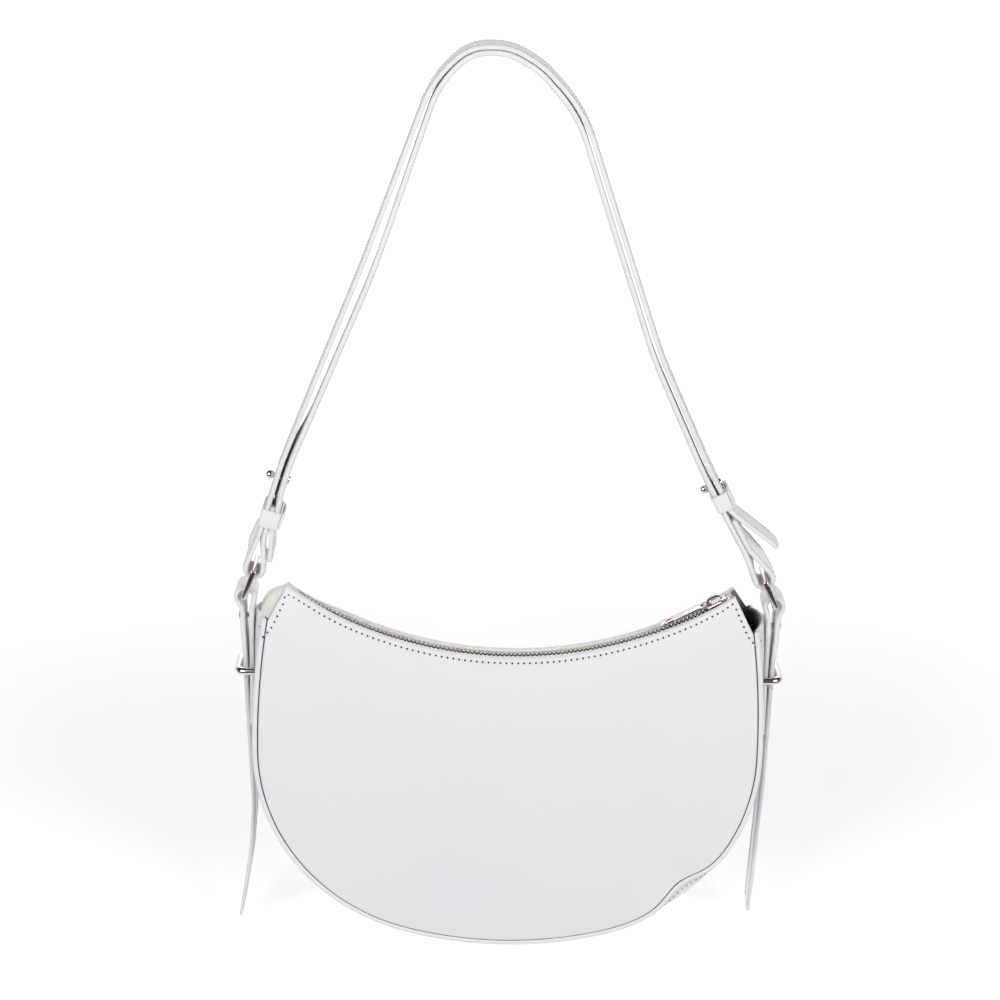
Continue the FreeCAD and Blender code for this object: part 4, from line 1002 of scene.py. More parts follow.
def sew_gusset(mesher, outline):
    """Stitch rows along both edges of the gusset and round its lips."""
    pitch = bpy.context.scene.bag_stitches.pitch
    shares = np.linspace(-SEWN_SHARE, SEWN_SHARE, int(2 * SEWN_SHARE * outline.half_seam / pitch))
    ups = [upright(outline.seam(share)[1]) for share in shares]
    loops = np.array([gusset_section(outline, share, SEWN_CURVE)[0] for share in shares])
    half = loops.shape[1] // 2
    edge = len(GUSSET_EDGE)
    for spots in (loops[:, edge - 1], loops[:, half - edge]):
        stitch_row(mesher, placed(spots), tangents(spots), ups, 3, 4)
    lip = 1 - LIP_STITCH / outline.half_seam
    for share in (-lip, lip):
        loop = gusset_section(outline, share, LIP_STITCH_FLARE)[0]
        path = evenly(raised_lip(outline, share, loop)[4:half - 4], pitch)
        ups = np.tile(upright(outline.seam(share)[1]), (len(path), 1))
        stitch_row(mesher, placed(path), tangents(path), ups, 3, 4)


def lining_pieces():
    """Lining of the front, the back and the gusset, as thin sheets of cloth."""
    outline = Outline()
    shares = np.linspace(-1, 1, 121)
    steps = np.linspace(0, 1, 30)
    made = {}
    for name, toward in (("front_lining", -1), ("back_lining", 1)):
        flat = []
        for share in shares:
            edge = outline.mouth(share * LAST_COLUMN, LINING_DROP)
            foot, out = outline.seam(share * LAST_COLUMN)
            foot = foot - out * (LINING_INSET + (outline.s.dent * outline.dent(share) if toward < 0 else 0.0))
            flat.append([edge + (foot - edge) * step for step in steps])
        flat = np.array(flat)
        x, z = flat[..., 0], flat[..., 1]
        ripple = LINING_RIPPLE * (1 + np.sin(x / RIPPLE_ACROSS) * np.sin(z / RIPPLE_DOWN))
        y = toward * (outline.half_depth(x, z) - LINING_BEHIND - ripple)
        made[name] = upright(flat, y + outline.sunk(x, z, shares[:, None], steps) if toward < 0 else y)
    band = []
    for share in np.linspace(-0.99, 0.99, 161):
        depth = outline.half_depth(*outline.seam(share)[0]) - BAND_BEHIND
        band.append([by_the_dent(outline, share, y, -BAND_BELOW) for y in np.linspace(-depth, depth, 25)])
    made["gusset_lining"] = np.array(band)
    for name, sheet in made.items():
        mesher = Mesher()
        mesher.loft(placed(sheet), closed=False, caps=False)
        piece = mesher.piece(name, ["lining_cloth"], "bag", "lining")
        solid = piece.modifiers.new("cloth", "SOLIDIFY")
        solid.thickness = LINING_THICK
        solid.offset = 0


def zip_angle(outline, inset):
    """Angle along the zip of a spot at a distance from the mouth's corner."""
    return outline.mouth_turn - inset / (outline.s.mouth_radius + bpy.context.scene.bag_zip.tape_drop)


def on_zip(outline, turn, y, rise):
    """Point on the zip at an angle, across the tape and above the tape's level."""
    radius = outline.s.mouth_radius + bpy.context.scene.bag_zip.tape_drop - rise
    return (radius * math.sin(turn), y, outline.centre - radius * math.cos(turn))


def tape_profile(inner, wall):
    """Outline of a tape across its width: corded edge, web rising to the panel, and the flange behind it."""
    wall = wall - TAPE_GAP
    bead = min(BEAD, BEAD_SHARE * (wall - inner))
    profile = [(inner - 0.3 * MM, 0.25), (inner, 0.5), (inner + bead, 0.4), (inner + 2 * bead, 0.25)]
    profile += [(wall - 0.4 * bead, 1.2), (wall, 1.0), (wall + 0.9 * MM, -2.2), (wall + 2.4 * MM, -6.0)]
    profile += [(wall + 1.7 * MM, -6.1), (wall + 0.1 * MM, -2.5)]
    profile += [(wall - 0.4 * bead, -0.2), (wall - 0.8 * bead, 0.2)]
    profile += [(inner + 2 * bead, -0.7), (inner + bead, -1.1), (inner, -1.2), (inner - 0.3 * MM, -0.9)]
    return np.array(profile) * (1, MM)


def tape_pieces():
    """Two woven tapes with corded edges, and the folded end in the left notch."""
    outline = Outline()
    s, z = outline.s, bpy.context.scene.bag_zip
    reach = zip_angle(outline, z.end_inset)
    inner = z.slot + z.reach
    laid = distances(tape_profile(inner, float(outline.half_depth(0, s.mouth_low - z.tape_drop)) - s.panel))
    turns = np.linspace(-reach, reach, 140)
    uv = [(turn * s.mouth_radius, across) for turn in turns for across in laid]
    for name, toward in (("front_zip_tape", -1), ("back_zip_tape", 1)):
        sections = []
        for turn in turns:
            x, _, height = on_zip(outline, turn, 0, 0)
            wall = float(outline.half_depth(x, height)) - s.panel
            profile = tape_profile(inner, wall)
            sections.append([on_zip(outline, turn, toward * y, rise) for y, rise in profile])
        mesher = Mesher()
        mesher.loft(placed(sections))
        piece = mesher.piece(name, ["herringbone"], "bag", "zip_tape", uv)
    folded_end(outline)


def folded_end(outline):
    """Ends of the tapes, folded over together, puffed out between the panels and tucked behind the lip."""
    corner, foot = outline.mouth(-1.0), outline.seam(-1.0)[0]
    run = foot - corner
    out = unit([run[1], -run[0]])
    outside, inside, uv = [], [], []
    turns = np.linspace(-1, 1, 33)
    for down in np.linspace(FOLD_FROM, FOLD_TO, 84):
        spot = corner + run * min(down, FOLD_TUCK) + TUCK_WAY * max(down - FOLD_TUCK, 0) * TUCK_LENGTH
        if down < 0:
            spot = outline.mouth(-1.0 - 0.16 * down, -down * 3.5 * MM)
        half = float(outline.half_depth(*spot)) - outline.s.panel - FOLD_GAP
        swell = FOLD_START + FOLD_PUFF * smoothstep(-0.1, 0.55, down) - FOLD_FALL * smoothstep(0.7, 1.1, down)
        crease = 0.28 * np.cos(turns * 11) + 0.22 * math.sin(down * 41) * (1 - turns ** 2)
        bulge = swell * (1 - np.abs(turns) ** 2.6) + crease * smoothstep(0.1, 0.5, down)
        for row, lower in ((outside, 0.0), (inside, FOLD_THICK)):
            row.append(upright(spot + np.outer((bulge - lower) * MM, out), turns * half))
        uv.append([(down * FOLD_LENGTH, turn * half) for turn in turns])
    outside, inside, uv = np.array(outside), np.array(inside), np.array(uv)
    mesher = Mesher()
    mesher.loft(placed(np.concatenate([outside, inside[:, ::-1]], axis=1)))
    laid = np.concatenate([uv, uv[:, ::-1]], axis=1).reshape(-1, 2)
    piece = mesher.piece("zip_end", ["herringbone"], "bag", "zip_tape", laid)


def teeth_pieces():
    """Metal teeth that grip the tapes' corded edges, the two rows half a pitch apart, and the end stops."""
    outline = Outline()
    z = bpy.context.scene.bag_zip
    first = -zip_angle(outline, z.left_inset)
    last = zip_angle(outline, z.right_inset)
    step = z.pitch / (outline.s.mouth_radius + z.tape_drop)
    tooth = Mesher()
    tooth.block((0, 0, -TOOTH_DROP), SQUARE, (z.tooth, z.reach, TOOTH_TALL), TOOTH_BEVEL, segments=2)
    grip = (0, 0.5 * z.reach - GRIP_INSET, -GRIP_DROP)
    tooth.block(grip, SQUARE, (z.tooth * GRIP_SHARE, GRIP_DEEP, GRIP_TALL), GRIP_BEVEL, segments=2)
    for name, toward, shift in (("front_zip_teeth", -1, 0.0), ("back_zip_teeth", 1, 0.5)):
        turns = np.arange(first + shift * step, last, step)
        spots = np.array([on_zip(outline, turn, toward * (z.slot + 0.5 * z.reach), 0.0) for turn in turns])
        axes = np.array([turned(turn) * [(1,), (toward,), (1,)] for turn in turns])
        mesher = Mesher()
        mesher.copies(tooth, spots, axes)
        mesher.moved(placed)
        # The teeth take the darkened nickel, as painted shade between them
        mesher.piece(name, ["teeth_nickel_painted_shade"], "bag", "zip_metal")
    stops = Mesher()
    before, after = first - LEFT_STOP_GAP * step, last + RIGHT_STOP_GAP * step
    for turn, y, wide in ((before, 0.0, LEFT_STOP_WIDE), (after, RIGHT_STOP_Y, RIGHT_STOP_WIDE),
                          (after, -RIGHT_STOP_Y, RIGHT_STOP_WIDE)):
        sizes = (STOP_LONG, wide, STOP_TALL)
        stops.block(on_zip(outline, turn, y, -STOP_DROP), turned(turn), sizes, STOP_BEVEL)
    stops.moved(placed)
    stops.piece("zip_stops", METAL, "bag", "zip_metal")


class StrapEnd:
    """One end of the strap: u runs up the strap from the ring's rod, w across its layers, in metres."""

    def __init__(self, side):
        sizes = bpy.context.scene.bag_straps
        joint = JOINTS[side + "_ring_swing"]["pos_m"]
        axis = JOINTS[side + "_keeper_slide"]["axis"]
        half_step = getattr(sizes, side + "_half_step")
        self.leg = getattr(sizes, side + "_leg")
        self.back = getattr(sizes, side + "_return")
        self.rod = np.array([joint[0], joint[2]])
        self.along = unit([axis[0], axis[2]])
        self.over = np.array([self.along[1], -self.along[0]])
        self.middle = half_step - sizes.layer
        self.close = 2 * half_step - sizes.layer

    def spot(self, u, w, bend=0.0):
        """A spot of a route, with its bend radius."""
        return (*(self.rod + self.along * u + self.over * w), bend)

    def point(self, u, w, y=0.0):
        """A point in space."""
        return upright(self.rod + self.along * u + self.over * w, y)


def loop_corner(neck, centre, radius, level, side):
    """Where the tangent from the neck of a loop to its circle meets the level line over the loop."""
    over, up = centre[0] - neck[0], centre[1] - neck[1]
    angle = math.atan2(up, over) + side * math.asin(radius / math.hypot(over, up))
    return neck[0] + (level - neck[1]) / math.tan(angle)


def strap_loop(end):
    """Route of a looped end from its return leg round the ring's rod to the main leg."""
    t = bpy.context.scene.bag_straps
    low = -(t.rod + t.strap / 2)
    middle = (0, low + t.loop)
    near = loop_corner((0, t.neck), middle, t.loop, low, 1)
    far = loop_corner((-t.layer, t.neck), middle, t.loop, low, -1)
    return [
        end.spot(end.back, 0),
        end.spot(t.neck, 0, NECK_BEND),
        end.spot(low, near, t.loop),
        end.spot(low, far, t.loop),
        end.spot(t.neck, -t.layer, NECK_BEND),
    ]


def over_the_top(left, right, sign):
    """Route over the top, outside the middle line for sign 1 and inside it for sign -1."""
    layer = bpy.context.scene.bag_straps.layer
    spots = [left.spot(left.leg, left.middle)[:2]]
    spots += [np.array([x, z]) * MM + HANG_SHIFT[[0, 2]] for x, z, _, _ in STRAP_TOP]
    spots = np.array(spots + [right.spot(right.leg, right.middle)[:2]])
    route = []
    for before, spot, after, (_, _, bend, step) in zip(spots, spots[1:], spots[2:], STRAP_TOP):
        into, out = unit(spot - before), unit(after - spot)
        normal = unit([-into[1] - out[1], into[0] + out[0]])
        place = spot + normal * sign * step * MM / math.sqrt((1 + into @ out) / 2)
        turn = math.copysign(1, into[0] * out[1] - into[1] * out[0])
        route.append((*place, (bend - sign * step * turn) * MM))
    begin = left.spot(left.leg, -layer if sign > 0 else left.close, LEFT_LEG_BEND)
    finish = right.spot(right.leg, right.close if sign > 0 else -layer, RIGHT_LEG_BEND)
    return [begin] + route + [finish]


def ribbon(mesher, path, thickness, tips=(False, False), faces=(), skew=None, taper=0.0, slim=0.0):
    """Leather strip along points in the XZ plane, with painted round edges and stitch rows on its faces.
    Skew gives, for each point, how far the back edge is shifted in x and z, taper rounds the tips, and
    slim is how far the strip thins towards its end."""
    sizes = bpy.context.scene.bag_stitches
    width = bpy.context.scene.bag_straps.width
    ways = tangents(path)
    half, thick, edge = width / 2, thickness / 2, STRIP_ROUND * thickness
    gaps = distances(path)
    skew = np.zeros_like(path) if skew is None else skew
    thinned = 1 - slim * gaps / gaps[-1]
    sections = []
    for point, side, along, shift, worn in zip(path, sideways(ways), gaps, skew, thinned):
        thin = thick * worn
        reach = half * (1 - STRIP_NARROWS * (1 - worn))
        for tip, gap in zip(tips, (along, gaps[-1] - along)):
            if tip:
                reach -= taper - math.sqrt(max(taper ** 2 - max(taper - gap, 0) ** 2, 0))
        ring, slots = [], []
        for face in (1, -1):
            for y in np.linspace(-1, 1, 7) * -face:
                ring.append((y * (reach - edge), face * (thin + STRIP_CROWN * (1 - y ** 2))))
            last = ring[-1][0]
            for turn in EDGE_TURNS:
                ring.append((last + math.copysign(edge, last) * math.sin(turn), face * thin * math.cos(turn)))
            slots += [0] * 6 + [1] * 6
        y, rise = np.array(ring).T
        sections.append(upright(point + np.outer(rise, side) + np.outer((y + half) / width, shift), y))
    mesher.loft(sections, slots)
    row = half - sizes.strap_edge
    places = np.arange(ROW_END, gaps[-1] - ROW_END, sizes.strap_pitch)
    spots, row_ways, row_skew = [at_places(places, gaps, rows) for rows in (path, ways, skew)]
    row_ways = units(row_ways)
    row_sides = sideways(row_ways)
    worn = 1 - slim * places / gaps[-1]
    narrowed = 1 - STRIP_NARROWS * (1 - worn)
    for face in faces:
        lifted = spots + row_sides * face * (thick * worn + THREAD_LIFT)[:, None]
        ups = upright(row_sides) * face
        for y in (-row, row):
            base = lifted + row_skew * (y + half) / width
            stitch_row(mesher, upright(base, y * narrowed), upright(row_ways), ups, 2)


def swelling(up, stops, far):
    """Spread that grows between the first two stops up the strap and goes between the last two."""
    low, full, fall, gone = np.array(stops) * MM
    return far * smoothstep(low, full, up) * (1 - smoothstep(fall, gone, up))


def strap_pieces():
    """Outer strap, looped at the left ring, and inner strap, looped at the right ring."""
    t = bpy.context.scene.bag_straps
    left, right = StrapEnd("left"), StrapEnd("right")
    jog = left.back + JOG_GAP
    left_free = [
        left.spot(*LEFT_TIP),
        left.spot(LEFT_BEND_AT, t.layer, TIP_BEND),
        left.spot(jog, t.layer, JOG_BEND),
        left.spot(jog + JOG_LENGTH, left.close, JOG_BEND),
    ]
    right_free = [right.spot(RIGHT_BEND_AT, right.close, TIP_BEND), right.spot(*RIGHT_TIP)]
    outer = strap_loop(left) + over_the_top(left, right, 1) + right_free
    inner = left_free + over_the_top(left, right, -1) + strap_loop(right)[::-1]
    for name, route, looped, tips, face in (("outer_strap", outer, left, (False, True), 1),
                                            ("inner_strap", inner, right, (True, False), -1)):
        path = bent(route, STRAP_STEP)
        skew = np.zeros_like(path)
        for end, way in ((left, -1), (right, 1)):
            up, over = (path - end.rod) @ end.along, (path - end.rod) @ end.over
            near = np.hypot(up, over) < SPREAD_REACH
            loop = swelling(up, *LOOP_SPREAD)
            slit = sum(swelling(up, *spread) for spread in SLIT_SPREADS)
            spread = loop if end is looped else slit * (end is left)
            skew += (near * spread)[:, None] * end.over * way
        mesher = Mesher()
        ribbon(mesher, path, t.strap, tips, (face,), skew, taper=STRAP_TAPER)
        mesher.piece(name, STRIP, "shoulder_strap", "strap_leather")


def tab_path(rod_x):
    """Middle line of a side tab on the right, in the bag's frame."""
    t = bpy.context.scene.bag_straps
    inner_x, outer_x, hang_x = TAB_INNER_X, TAB_INNER_X + TAB_OUTER_STEP, TAB_INNER_X + TAB_HANG_STEP
    top = TAB_ROD_Z + t.rod + t.tab / 2
    middle = (rod_x, top - TAB_LOOP)
    inner = loop_corner((inner_x, TAB_WAIST), middle, TAB_LOOP, top, 1)
    outer = loop_corner((outer_x, TAB_WAIST), middle, TAB_LOOP, top, -1)
    return bent([
        *[(inner_x + step, z, bend) for step, z, bend in TAB_INNER_LEG],
        (inner_x, TAB_WAIST, TAB_BEND),
        (inner, top, TAB_LOOP),
        (outer, top, TAB_LOOP),
        (outer_x, TAB_WAIST, TAB_BEND),
        (outer_x, TAB_OUTER_LOW, TAB_BEND),
        (hang_x, TAB_HANG_TOP, TAB_BEND),
        (hang_x, TAB_HANG_END, 0),
    ], TAB_STEP)


def tab_pieces():
    """Side tabs, folded round the rings' lower rods."""
    for side, sign in SIDES:
        points = placed(upright(tab_path(TAB_ROD_X[side]) * (sign, 1)))
        mesher = Mesher()
        ribbon(mesher, points[:, [0, 2]], bpy.context.scene.bag_straps.tab - TAB_SPARE)
        mesher.piece(side + "_side_tab", STRIP, "bag", "strap_leather")


def tail_pieces():
    """Free tails of the side tabs, stitched on their inner faces."""
    thickness = bpy.context.scene.bag_straps.tab - TAIL_SPARE
    for side, sign in SIDES:
        hinge = JOINTS[side + "_tail_swing"]["pos_m"]
        spots = [(hinge[0], hinge[2], 0)]
        spots += [(hinge[0] + x * MM, hinge[2] + z * MM, bend * MM) for x, z, bend in TAILS[side]]
        mesher = Mesher()
        path = bent(spots, TAIL_STEP)
        ribbon(mesher, path, thickness, (False, True), (-sign,), taper=TAIL_TAPER, slim=TAIL_SLIM)
        mesher.piece(side + "_tail", STRIP, side + "_tail", "strap_leather")


def keeper_pieces():
    """Leather keepers round the strap's layers, each with its overlapped end."""
    t = bpy.context.scene.bag_straps
    wall = t.keeper_wall
    room = t.strap / 2 + KEEPER_ROOM
    half = t.width / 2 + KEEPER_ROOM + wall / 2
    for side, _ in SIDES:
        end, at = StrapEnd(side), KEEPER_AT[side]
        low = -t.layer - room - wall / 2
        high = (t.layer if side == "left" else end.close) + room + wall / 2
        rings = []
        for start in (0, 90, 180, 270, 360):
            w = high - KEEPER_CORNER if start in (0, 270, 360) else low + KEEPER_CORNER
            y = half - KEEPER_CORNER if start in (0, 90, 360) else KEEPER_CORNER - half
            for turn in range(start, start + 91, 15) if start < 360 else (0,):
                over, back = math.cos(math.radians(turn)), math.sin(math.radians(turn))
                ring = []
                for u, rise in KEEPER_SECTION:
                    out = KEEPER_CORNER + rise * wall
                    ring.append(end.point(at + u * t.keeper, w + over * out, y + back * out))
                rings.append(ring)
        mesher = Mesher()
        mesher.loft(rings, [1, 1, 0, 1, 1, 1, 0, 1], caps=False)
        flap = []
        for share in np.linspace(-1, 1, 9):
            over = high + wall * (FLAP_RISE + FLAP_BULGE * (1 - abs(share)))
            reach = 0.5 * t.keeper * (1.0 if abs(share) < 1 else FLAP_NARROW)
            flap.append([end.point(at + u * reach, over + w * wall, share * (half - FLAP_INSET))
                         for u, w in KEEPER_FLAP])
        mesher.loft(flap, [1, 1, 0, 1, 1, 0])
        mesher.piece(side + "_keeper", STRIP, side + "_keeper", "strap_leather")


def ring_pieces():
    """Rings: two round rods in the leather loops and two flat bars beside them."""
    for side, sign in SIDES:
        joint = JOINTS[side + "_ring_swing"]["pos_m"]
        upper = np.array([joint[0], 0, joint[2]])
        way = np.array([sign * math.sin(RING_LEAN[side]), 0, -math.cos(RING_LEAN[side])])
        lower = upper + way * RING_LENGTH
        over = np.array([way[2], 0, -way[0]])
        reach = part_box(side + "_ring")[1][1]
        mesher = Mesher()
        for spot in (upper, lower):
            mesher.lathe([(ROD_RADIUS, ROD_INSET - reach), (ROD_RADIUS, reach - ROD_INSET)], spot, ACROSS)
        for y in (-1, 1):
            centre = (upper + lower) / 2 + ACROSS * y * (reach - BAR_INSET)
            mesher.block(centre, [over, ACROSS, way], BAR_SIZES, BAR_BEVEL)
        mesher.piece(side + "_ring", METAL, side + "_ring", "hardware")


def loop_pieces():
    """Side loops: bent metal bars that the tabs run through."""
    for side, sign in SIDES:
        low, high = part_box(side + "_side_loop")
        level = (low[2] + high[2]) / 2 + LOOP_LIFT
        inner, outer = (low[0], high[0]) if sign > 0 else (high[0], low[0])
        bend_x = outer - sign * (LOOP_RADIUS + LOOP_CORNER)
        half = high[1] - LOOP_RADIUS
        path = [(inner, -half, level)]
        for start, y in ((-90, LOOP_CORNER - half), (0, half - LOOP_CORNER)):
            for turn in np.radians(range(start, start + 91, 10)):
                x = bend_x + sign * LOOP_CORNER * math.cos(turn)
                path.append((x, y + LOOP_CORNER * math.sin(turn), level))
        path.append((inner, half, level))
        mesher = Mesher()
        mesher.tube(path, LOOP_RADIUS, UP * sign)
        mesher.piece(side + "_side_loop", METAL, "bag", "hardware")


def rivet_pieces():
    """Rivets through the tabs with domed heads, and their caps."""
    for side, sign in SIDES:
        for name, toward in ((side + "_tab_rivet", sign), (side + "_tab_rivet_cap", -sign)):
            low, high = [np.array(corner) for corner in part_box(name)]
            long = high[0] - low[0]
            axis = np.array([toward, 0, 0])
            rise, shank = (long, CAP_SHANK) if toward != sign else (RIVET_RISE, RIVET_SHANK)
            profile = [(shank, 0), (shank, long - rise)]
            for turn in np.radians((0, 20, 40, 60, 75, 86)):
                profile.append((RIVET_HEAD * math.cos(turn), long - rise + rise * math.sin(turn)))
            mesher = Mesher()
            mesher.lathe(profile, (low + high) / 2 - axis * long / 2, axis)
            mesher.piece(name, METAL, "bag", "hardware")


def stud_pieces():
    """Ball studs that button through the strap, and the screws behind them."""
    t = bpy.context.scene.bag_straps
    for side, _ in SIDES:
        end, at = StrapEnd(side), STUD_AT[side]
        seat = end.close - t.strap / 2 - STUD_SEAT
        axis = -upright(end.over)
        height = t.layer + t.strap / 2 + BALL_GAP + BALL_RADIUS + seat
        profile = [*STUD_FOOT, (STUD_FOOT[-1][0], height - STUD_NECK)]
        for turn in np.radians(range(-58, 90, 12)):
            profile.append((BALL_RADIUS * math.cos(turn), height + BALL_RADIUS * math.sin(turn)))
        profile.append((STUD_TIP, height + BALL_RADIUS))
        mesher = Mesher()
        mesher.lathe(profile, end.point(at, seat), axis)
        mesher.piece(side + "_stud", METAL, "shoulder_strap", "hardware")
        screw = Mesher()
        screw.lathe(SCREW, end.point(at, end.close + t.strap / 2 + STUD_SEAT), -axis)
        screw.piece(side + "_stud_screw", METAL, "shoulder_strap", "hardware")


def slider_frame():
    """Middle of the slider on the zip and its axes: along the zip, across and up."""
    outline = Outline()
    turn = zip_angle(outline, SLIDER_INSET)
    rise = bpy.context.scene.bag_zip.tape_drop - SLIDER_DROP
    return np.array(on_zip(outline, turn, 0, rise)), turned(turn)


def slider_piece():
    """Zip slider: two shield-shaped plates, a keel and a bridge for the pull."""
    mesher = Mesher()
    for low, high in SLIDER_PLATES:
        foot, rim, crown = low + PLATE_BEVEL, high - PLATE_BEVEL, high + PLATE_CROWN
        side = ((-1, foot), (-1, rim), (-0.9, high), (-0.3, crown), (0.3, crown),
                (0.9, high), (1, rim), (1, foot), (0.9, low), (-0.9, low))
        sections = []
        for share in np.linspace(-1, 1, 25):
            round_end = math.sqrt(max(1 - abs(share) ** 8, 0.0))
            half = (SLIDER_NOSE + SLIDER_FLARE * smoothstep(-0.6, 0.8, share)) * max(round_end, PLATE_TIP)
            sections.append([(share * SLIDER_HALF_LENGTH, y * half, z) for y, z in side])
        mesher.loft(np.array(sections) * MM)
    mesher.block(KEEL_SPOT, SQUARE, KEEL_SIZES, KEEL_BEVEL)
    arch = []
    for angle in np.radians(np.linspace(0, 180, 25)):
        reach = math.copysign(abs(math.cos(angle)) ** 0.6, math.cos(angle)) * BRIDGE_FOOT
        arch.append((reach * MM, (BRIDGE_LOW + BRIDGE_RISE * math.sin(angle) ** 0.7) * MM))
    rings = []
    for point, over in zip(np.array(arch), sideways(tangents(arch))):
        rings.append([upright(point + over * rise * MM, y * MM) for rise, y in BRIDGE_SECTION])
    mesher.loft(rings)
    middle, axes = slider_frame()
    mesher.moved(lambda points: placed(middle + points @ axes))
    mesher.piece("zip_slider", METAL, "zip_slider", "zip_metal")


def pull_piece():
    """Zip pull: an eye round the bridge and a plain plate with a slot at its free end."""
    mesher = Mesher()
    for x0, x1, y0, y1 in PULL_BARS:
        sizes = ((x1 - x0) * MM, (y1 - y0) * MM, PULL_THICK)
        mesher.block(((x0 + x1) / 2 * MM, (y0 + y1) / 2 * MM, 0), SQUARE, sizes, PULL_BEVEL)
    mesher.lathe([(PIN_RADIUS, -PIN_HALF), (PIN_RADIUS, PIN_HALF)], (0, 0, 0), ACROSS, sides=20)
    middle, axes = slider_frame()
    lean = turned(-PULL_LEAN)
    mesher.moved(lambda points: placed(middle + (PULL_PIVOT + points @ lean) @ axes))
    mesher.piece("zip_pull", METAL, "zip_pull", "zip_metal")


def build_floor():
    """Pale floor, left out of bounce light, reflections and shadow rays."""
    level = CAD_LOW[2] - FLOOR_GAP
    mesh = bpy.data.meshes.new("floor")
    corners = [(x * FLOOR_HALF, y * FLOOR_HALF, level) for x, y in ((-1, -1), (1, -1), (1, 1), (-1, 1))]
    mesh.from_pydata(corners, [], [(0, 1, 2, 3)])
    mesh.materials.append(material("pale_floor"))
    floor = bpy.data.objects.new("floor", mesh)
    bpy.context.scene.collection.objects.link(floor)
    floor.visible_diffuse = False
    floor.visible_glossy = False
    floor.visible_shadow = False


def build_world():
    """Soft surroundings, pale behind the bag and straight below it and dark in front."""
    world = bpy.data.worlds.new("studio")
    bpy.context.scene.world = world
    world.use_nodes = True
    world.node_tree.nodes.clear()
    maker = Shade(world.node_tree)
    toward = maker.node("ShaderNodeTexCoord", out=0)
    high = toward.part(2)
    back = (toward.part(1) - 0.6 * high).ramp(-0.15, 0.35)
    below = high.ramp(-0.45, -0.7)
    pale = back.math("MAXIMUM", below)
    sky = maker.node("ShaderNodeBackground", inputs={0: pale.mix(WORLD_DARK, WORLD_PALE), 1: 1.0})
    maker.node("ShaderNodeOutputWorld", inputs={0: sky})


def build_stage():
    """Pale floor, soft lights and the camera at the photograph's angle."""
    scene = bpy.context.scene
    scene.view_settings.view_transform = "Standard"
    build_floor()
    build_world()
    target = (CAD_LOW + CAD_HIGH) / 2
    for name, spot, aim, wide, watts in LAMPS:
        lamp = bpy.data.lights.new(name, "AREA")
        lamp.shape = "SQUARE"
        lamp.size = wide
        lamp.energy = watts
        held = bpy.data.objects.new(name, lamp)
        held.location = target + Vector(spot)
        held.rotation_euler = (target + Vector(aim) - held.location).to_track_quat("-Z", "Y").to_euler()
        scene.collection.objects.link(held)
    lens = bpy.data.cameras.new("camera")
    lens.sensor_width = SENSOR
    lens.lens = SENSOR * FOCAL_SHARE
    camera = bpy.data.objects.new("camera", lens)
    camera.location = CAMERA_SPOT
    camera.rotation_euler = (math.radians(90 - CAMERA_DROP), 0, 0)
    scene.collection.objects.link(camera)
    scene.camera = camera


class BagOperator:
    """Shared by the operators: each makes its pieces and says that it is done."""
    bl_options = {"REGISTER", "UNDO"}

    def execute(self, context):
        self.make()
        return {"FINISHED"}


class BAG_OT_panels(BagOperator, bpy.types.Operator):
    """Make the front and back panels"""
    bl_idname = "bag.panels"
    bl_label = "Panels"

    def make(self):
        panel_piece("front_panel", -1)
        panel_piece("back_panel", 1)


class BAG_OT_gusset(BagOperator, bpy.types.Operator):
    """Make the gusset round the side and bottom"""
    bl_idname = "bag.gusset"
    bl_label = "Gusset"

    def make(self):
        gusset_piece()


class BAG_OT_linings(BagOperator, bpy.types.Operator):
    """Make the linings"""
    bl_idname = "bag.linings"
    bl_label = "Linings"

    def make(self):
        lining_pieces()


class BAG_OT_tapes(BagOperator, bpy.types.Operator):
    """Make the zip tapes and their folded end"""
    bl_idname = "bag.tapes"
    bl_label = "Zip tapes"

    def make(self):
        tape_pieces()


class BAG_OT_teeth(BagOperator, bpy.types.Operator):
    """Make the zip teeth and stops"""
    bl_idname = "bag.teeth"
    bl_label = "Zip teeth"

    def make(self):
        teeth_pieces()


class BAG_OT_slider(BagOperator, bpy.types.Operator):
    """Make the zip slider and its pull"""
    bl_idname = "bag.slider"
    bl_label = "Zip slider and pull"

    def make(self):
        slider_piece()
        pull_piece()


class BAG_OT_tabs(BagOperator, bpy.types.Operator):
    """Make the side tabs and their tails"""
    bl_idname = "bag.tabs"
    bl_label = "Side tabs and tails"

    def make(self):
        tab_pieces()
        tail_pieces()


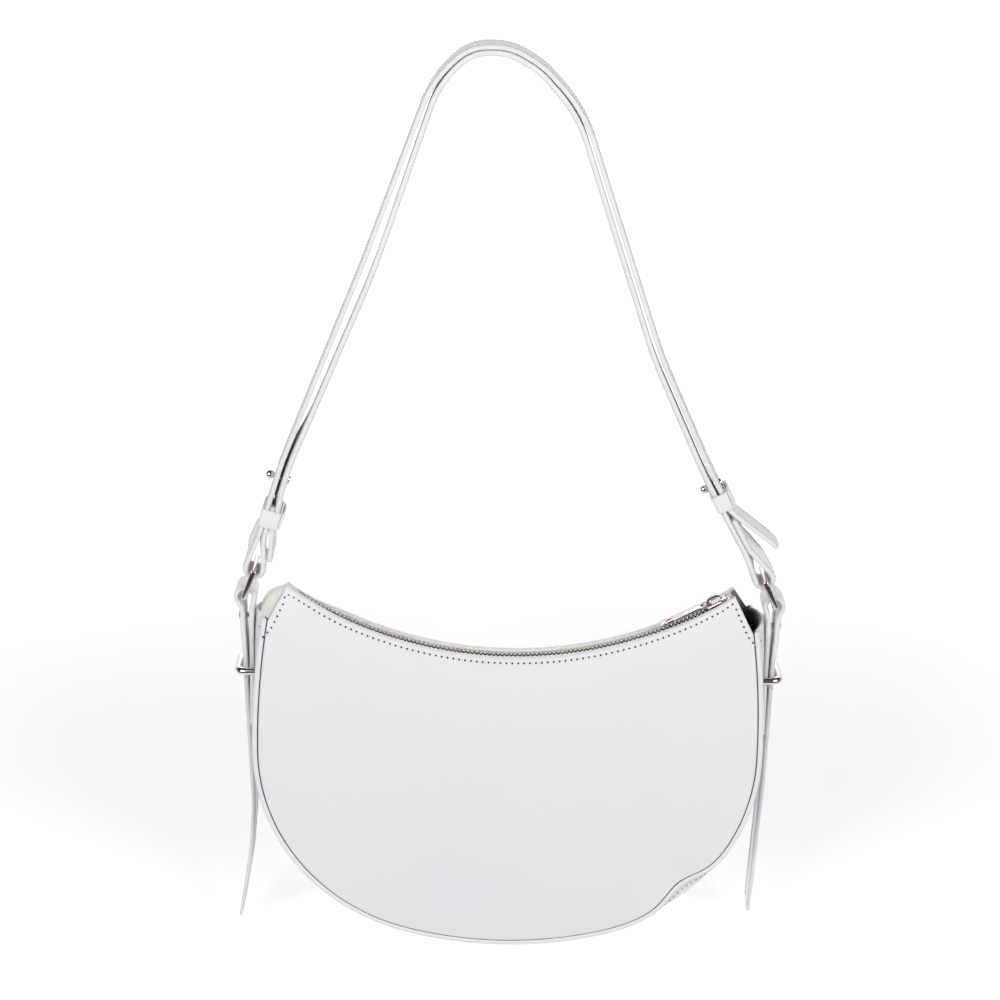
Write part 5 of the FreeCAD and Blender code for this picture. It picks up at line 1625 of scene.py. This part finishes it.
class BAG_OT_straps(BagOperator, bpy.types.Operator):
    """Make the two layers of the shoulder strap"""
    bl_idname = "bag.straps"
    bl_label = "Shoulder strap"

    def make(self):
        strap_pieces()


class BAG_OT_keepers(BagOperator, bpy.types.Operator):
    """Make the keepers"""
    bl_idname = "bag.keepers"
    bl_label = "Keepers"

    def make(self):
        keeper_pieces()


class BAG_OT_metal(BagOperator, bpy.types.Operator):
    """Make the rings, side loops, rivets and studs"""
    bl_idname = "bag.metal"
    bl_label = "Metal fittings"

    def make(self):
        ring_pieces()
        loop_pieces()
        rivet_pieces()
        stud_pieces()


class BAG_OT_stage(BagOperator, bpy.types.Operator):
    """Make the floor, lights and camera"""
    bl_idname = "bag.stage"
    bl_label = "Stage"

    def make(self):
        build_stage()


OPERATORS = (BAG_OT_panels, BAG_OT_gusset, BAG_OT_linings, BAG_OT_tapes, BAG_OT_teeth, BAG_OT_slider,
             BAG_OT_tabs, BAG_OT_straps, BAG_OT_keepers, BAG_OT_metal, BAG_OT_stage)


class BAG_PT_panel(bpy.types.Panel):
    """Lists the bag's operators"""
    bl_idname = "BAG_PT_panel"
    bl_label = "Half moon bag"
    bl_space_type = "VIEW_3D"
    bl_region_type = "UI"
    bl_category = "Half moon bag"

    def draw(self, context):
        for operator in OPERATORS:
            self.layout.operator(operator.bl_idname)


GROUPS = {
    "bag_body": BodySizes,
    "bag_zip": ZipSizes,
    "bag_straps": StrapSizes,
    "bag_stitches": StitchSizes,
    "bag_finishes": Finishes,
}
CLASSES = (*GROUPS.values(), *OPERATORS, BAG_PT_panel)


def register():
    for cls in CLASSES:
        bpy.utils.register_class(cls)
    for name, group in GROUPS.items():
        setattr(bpy.types.Scene, name, PointerProperty(type=group))


def unregister():
    for name in GROUPS:
        delattr(bpy.types.Scene, name)
    for cls in reversed(CLASSES):
        bpy.utils.unregister_class(cls)


def main():
    register()
    for operator in OPERATORS:
        group, name = operator.bl_idname.split(".")
        getattr(getattr(bpy.ops, group), name)()


if __name__ == "__main__":
    main()
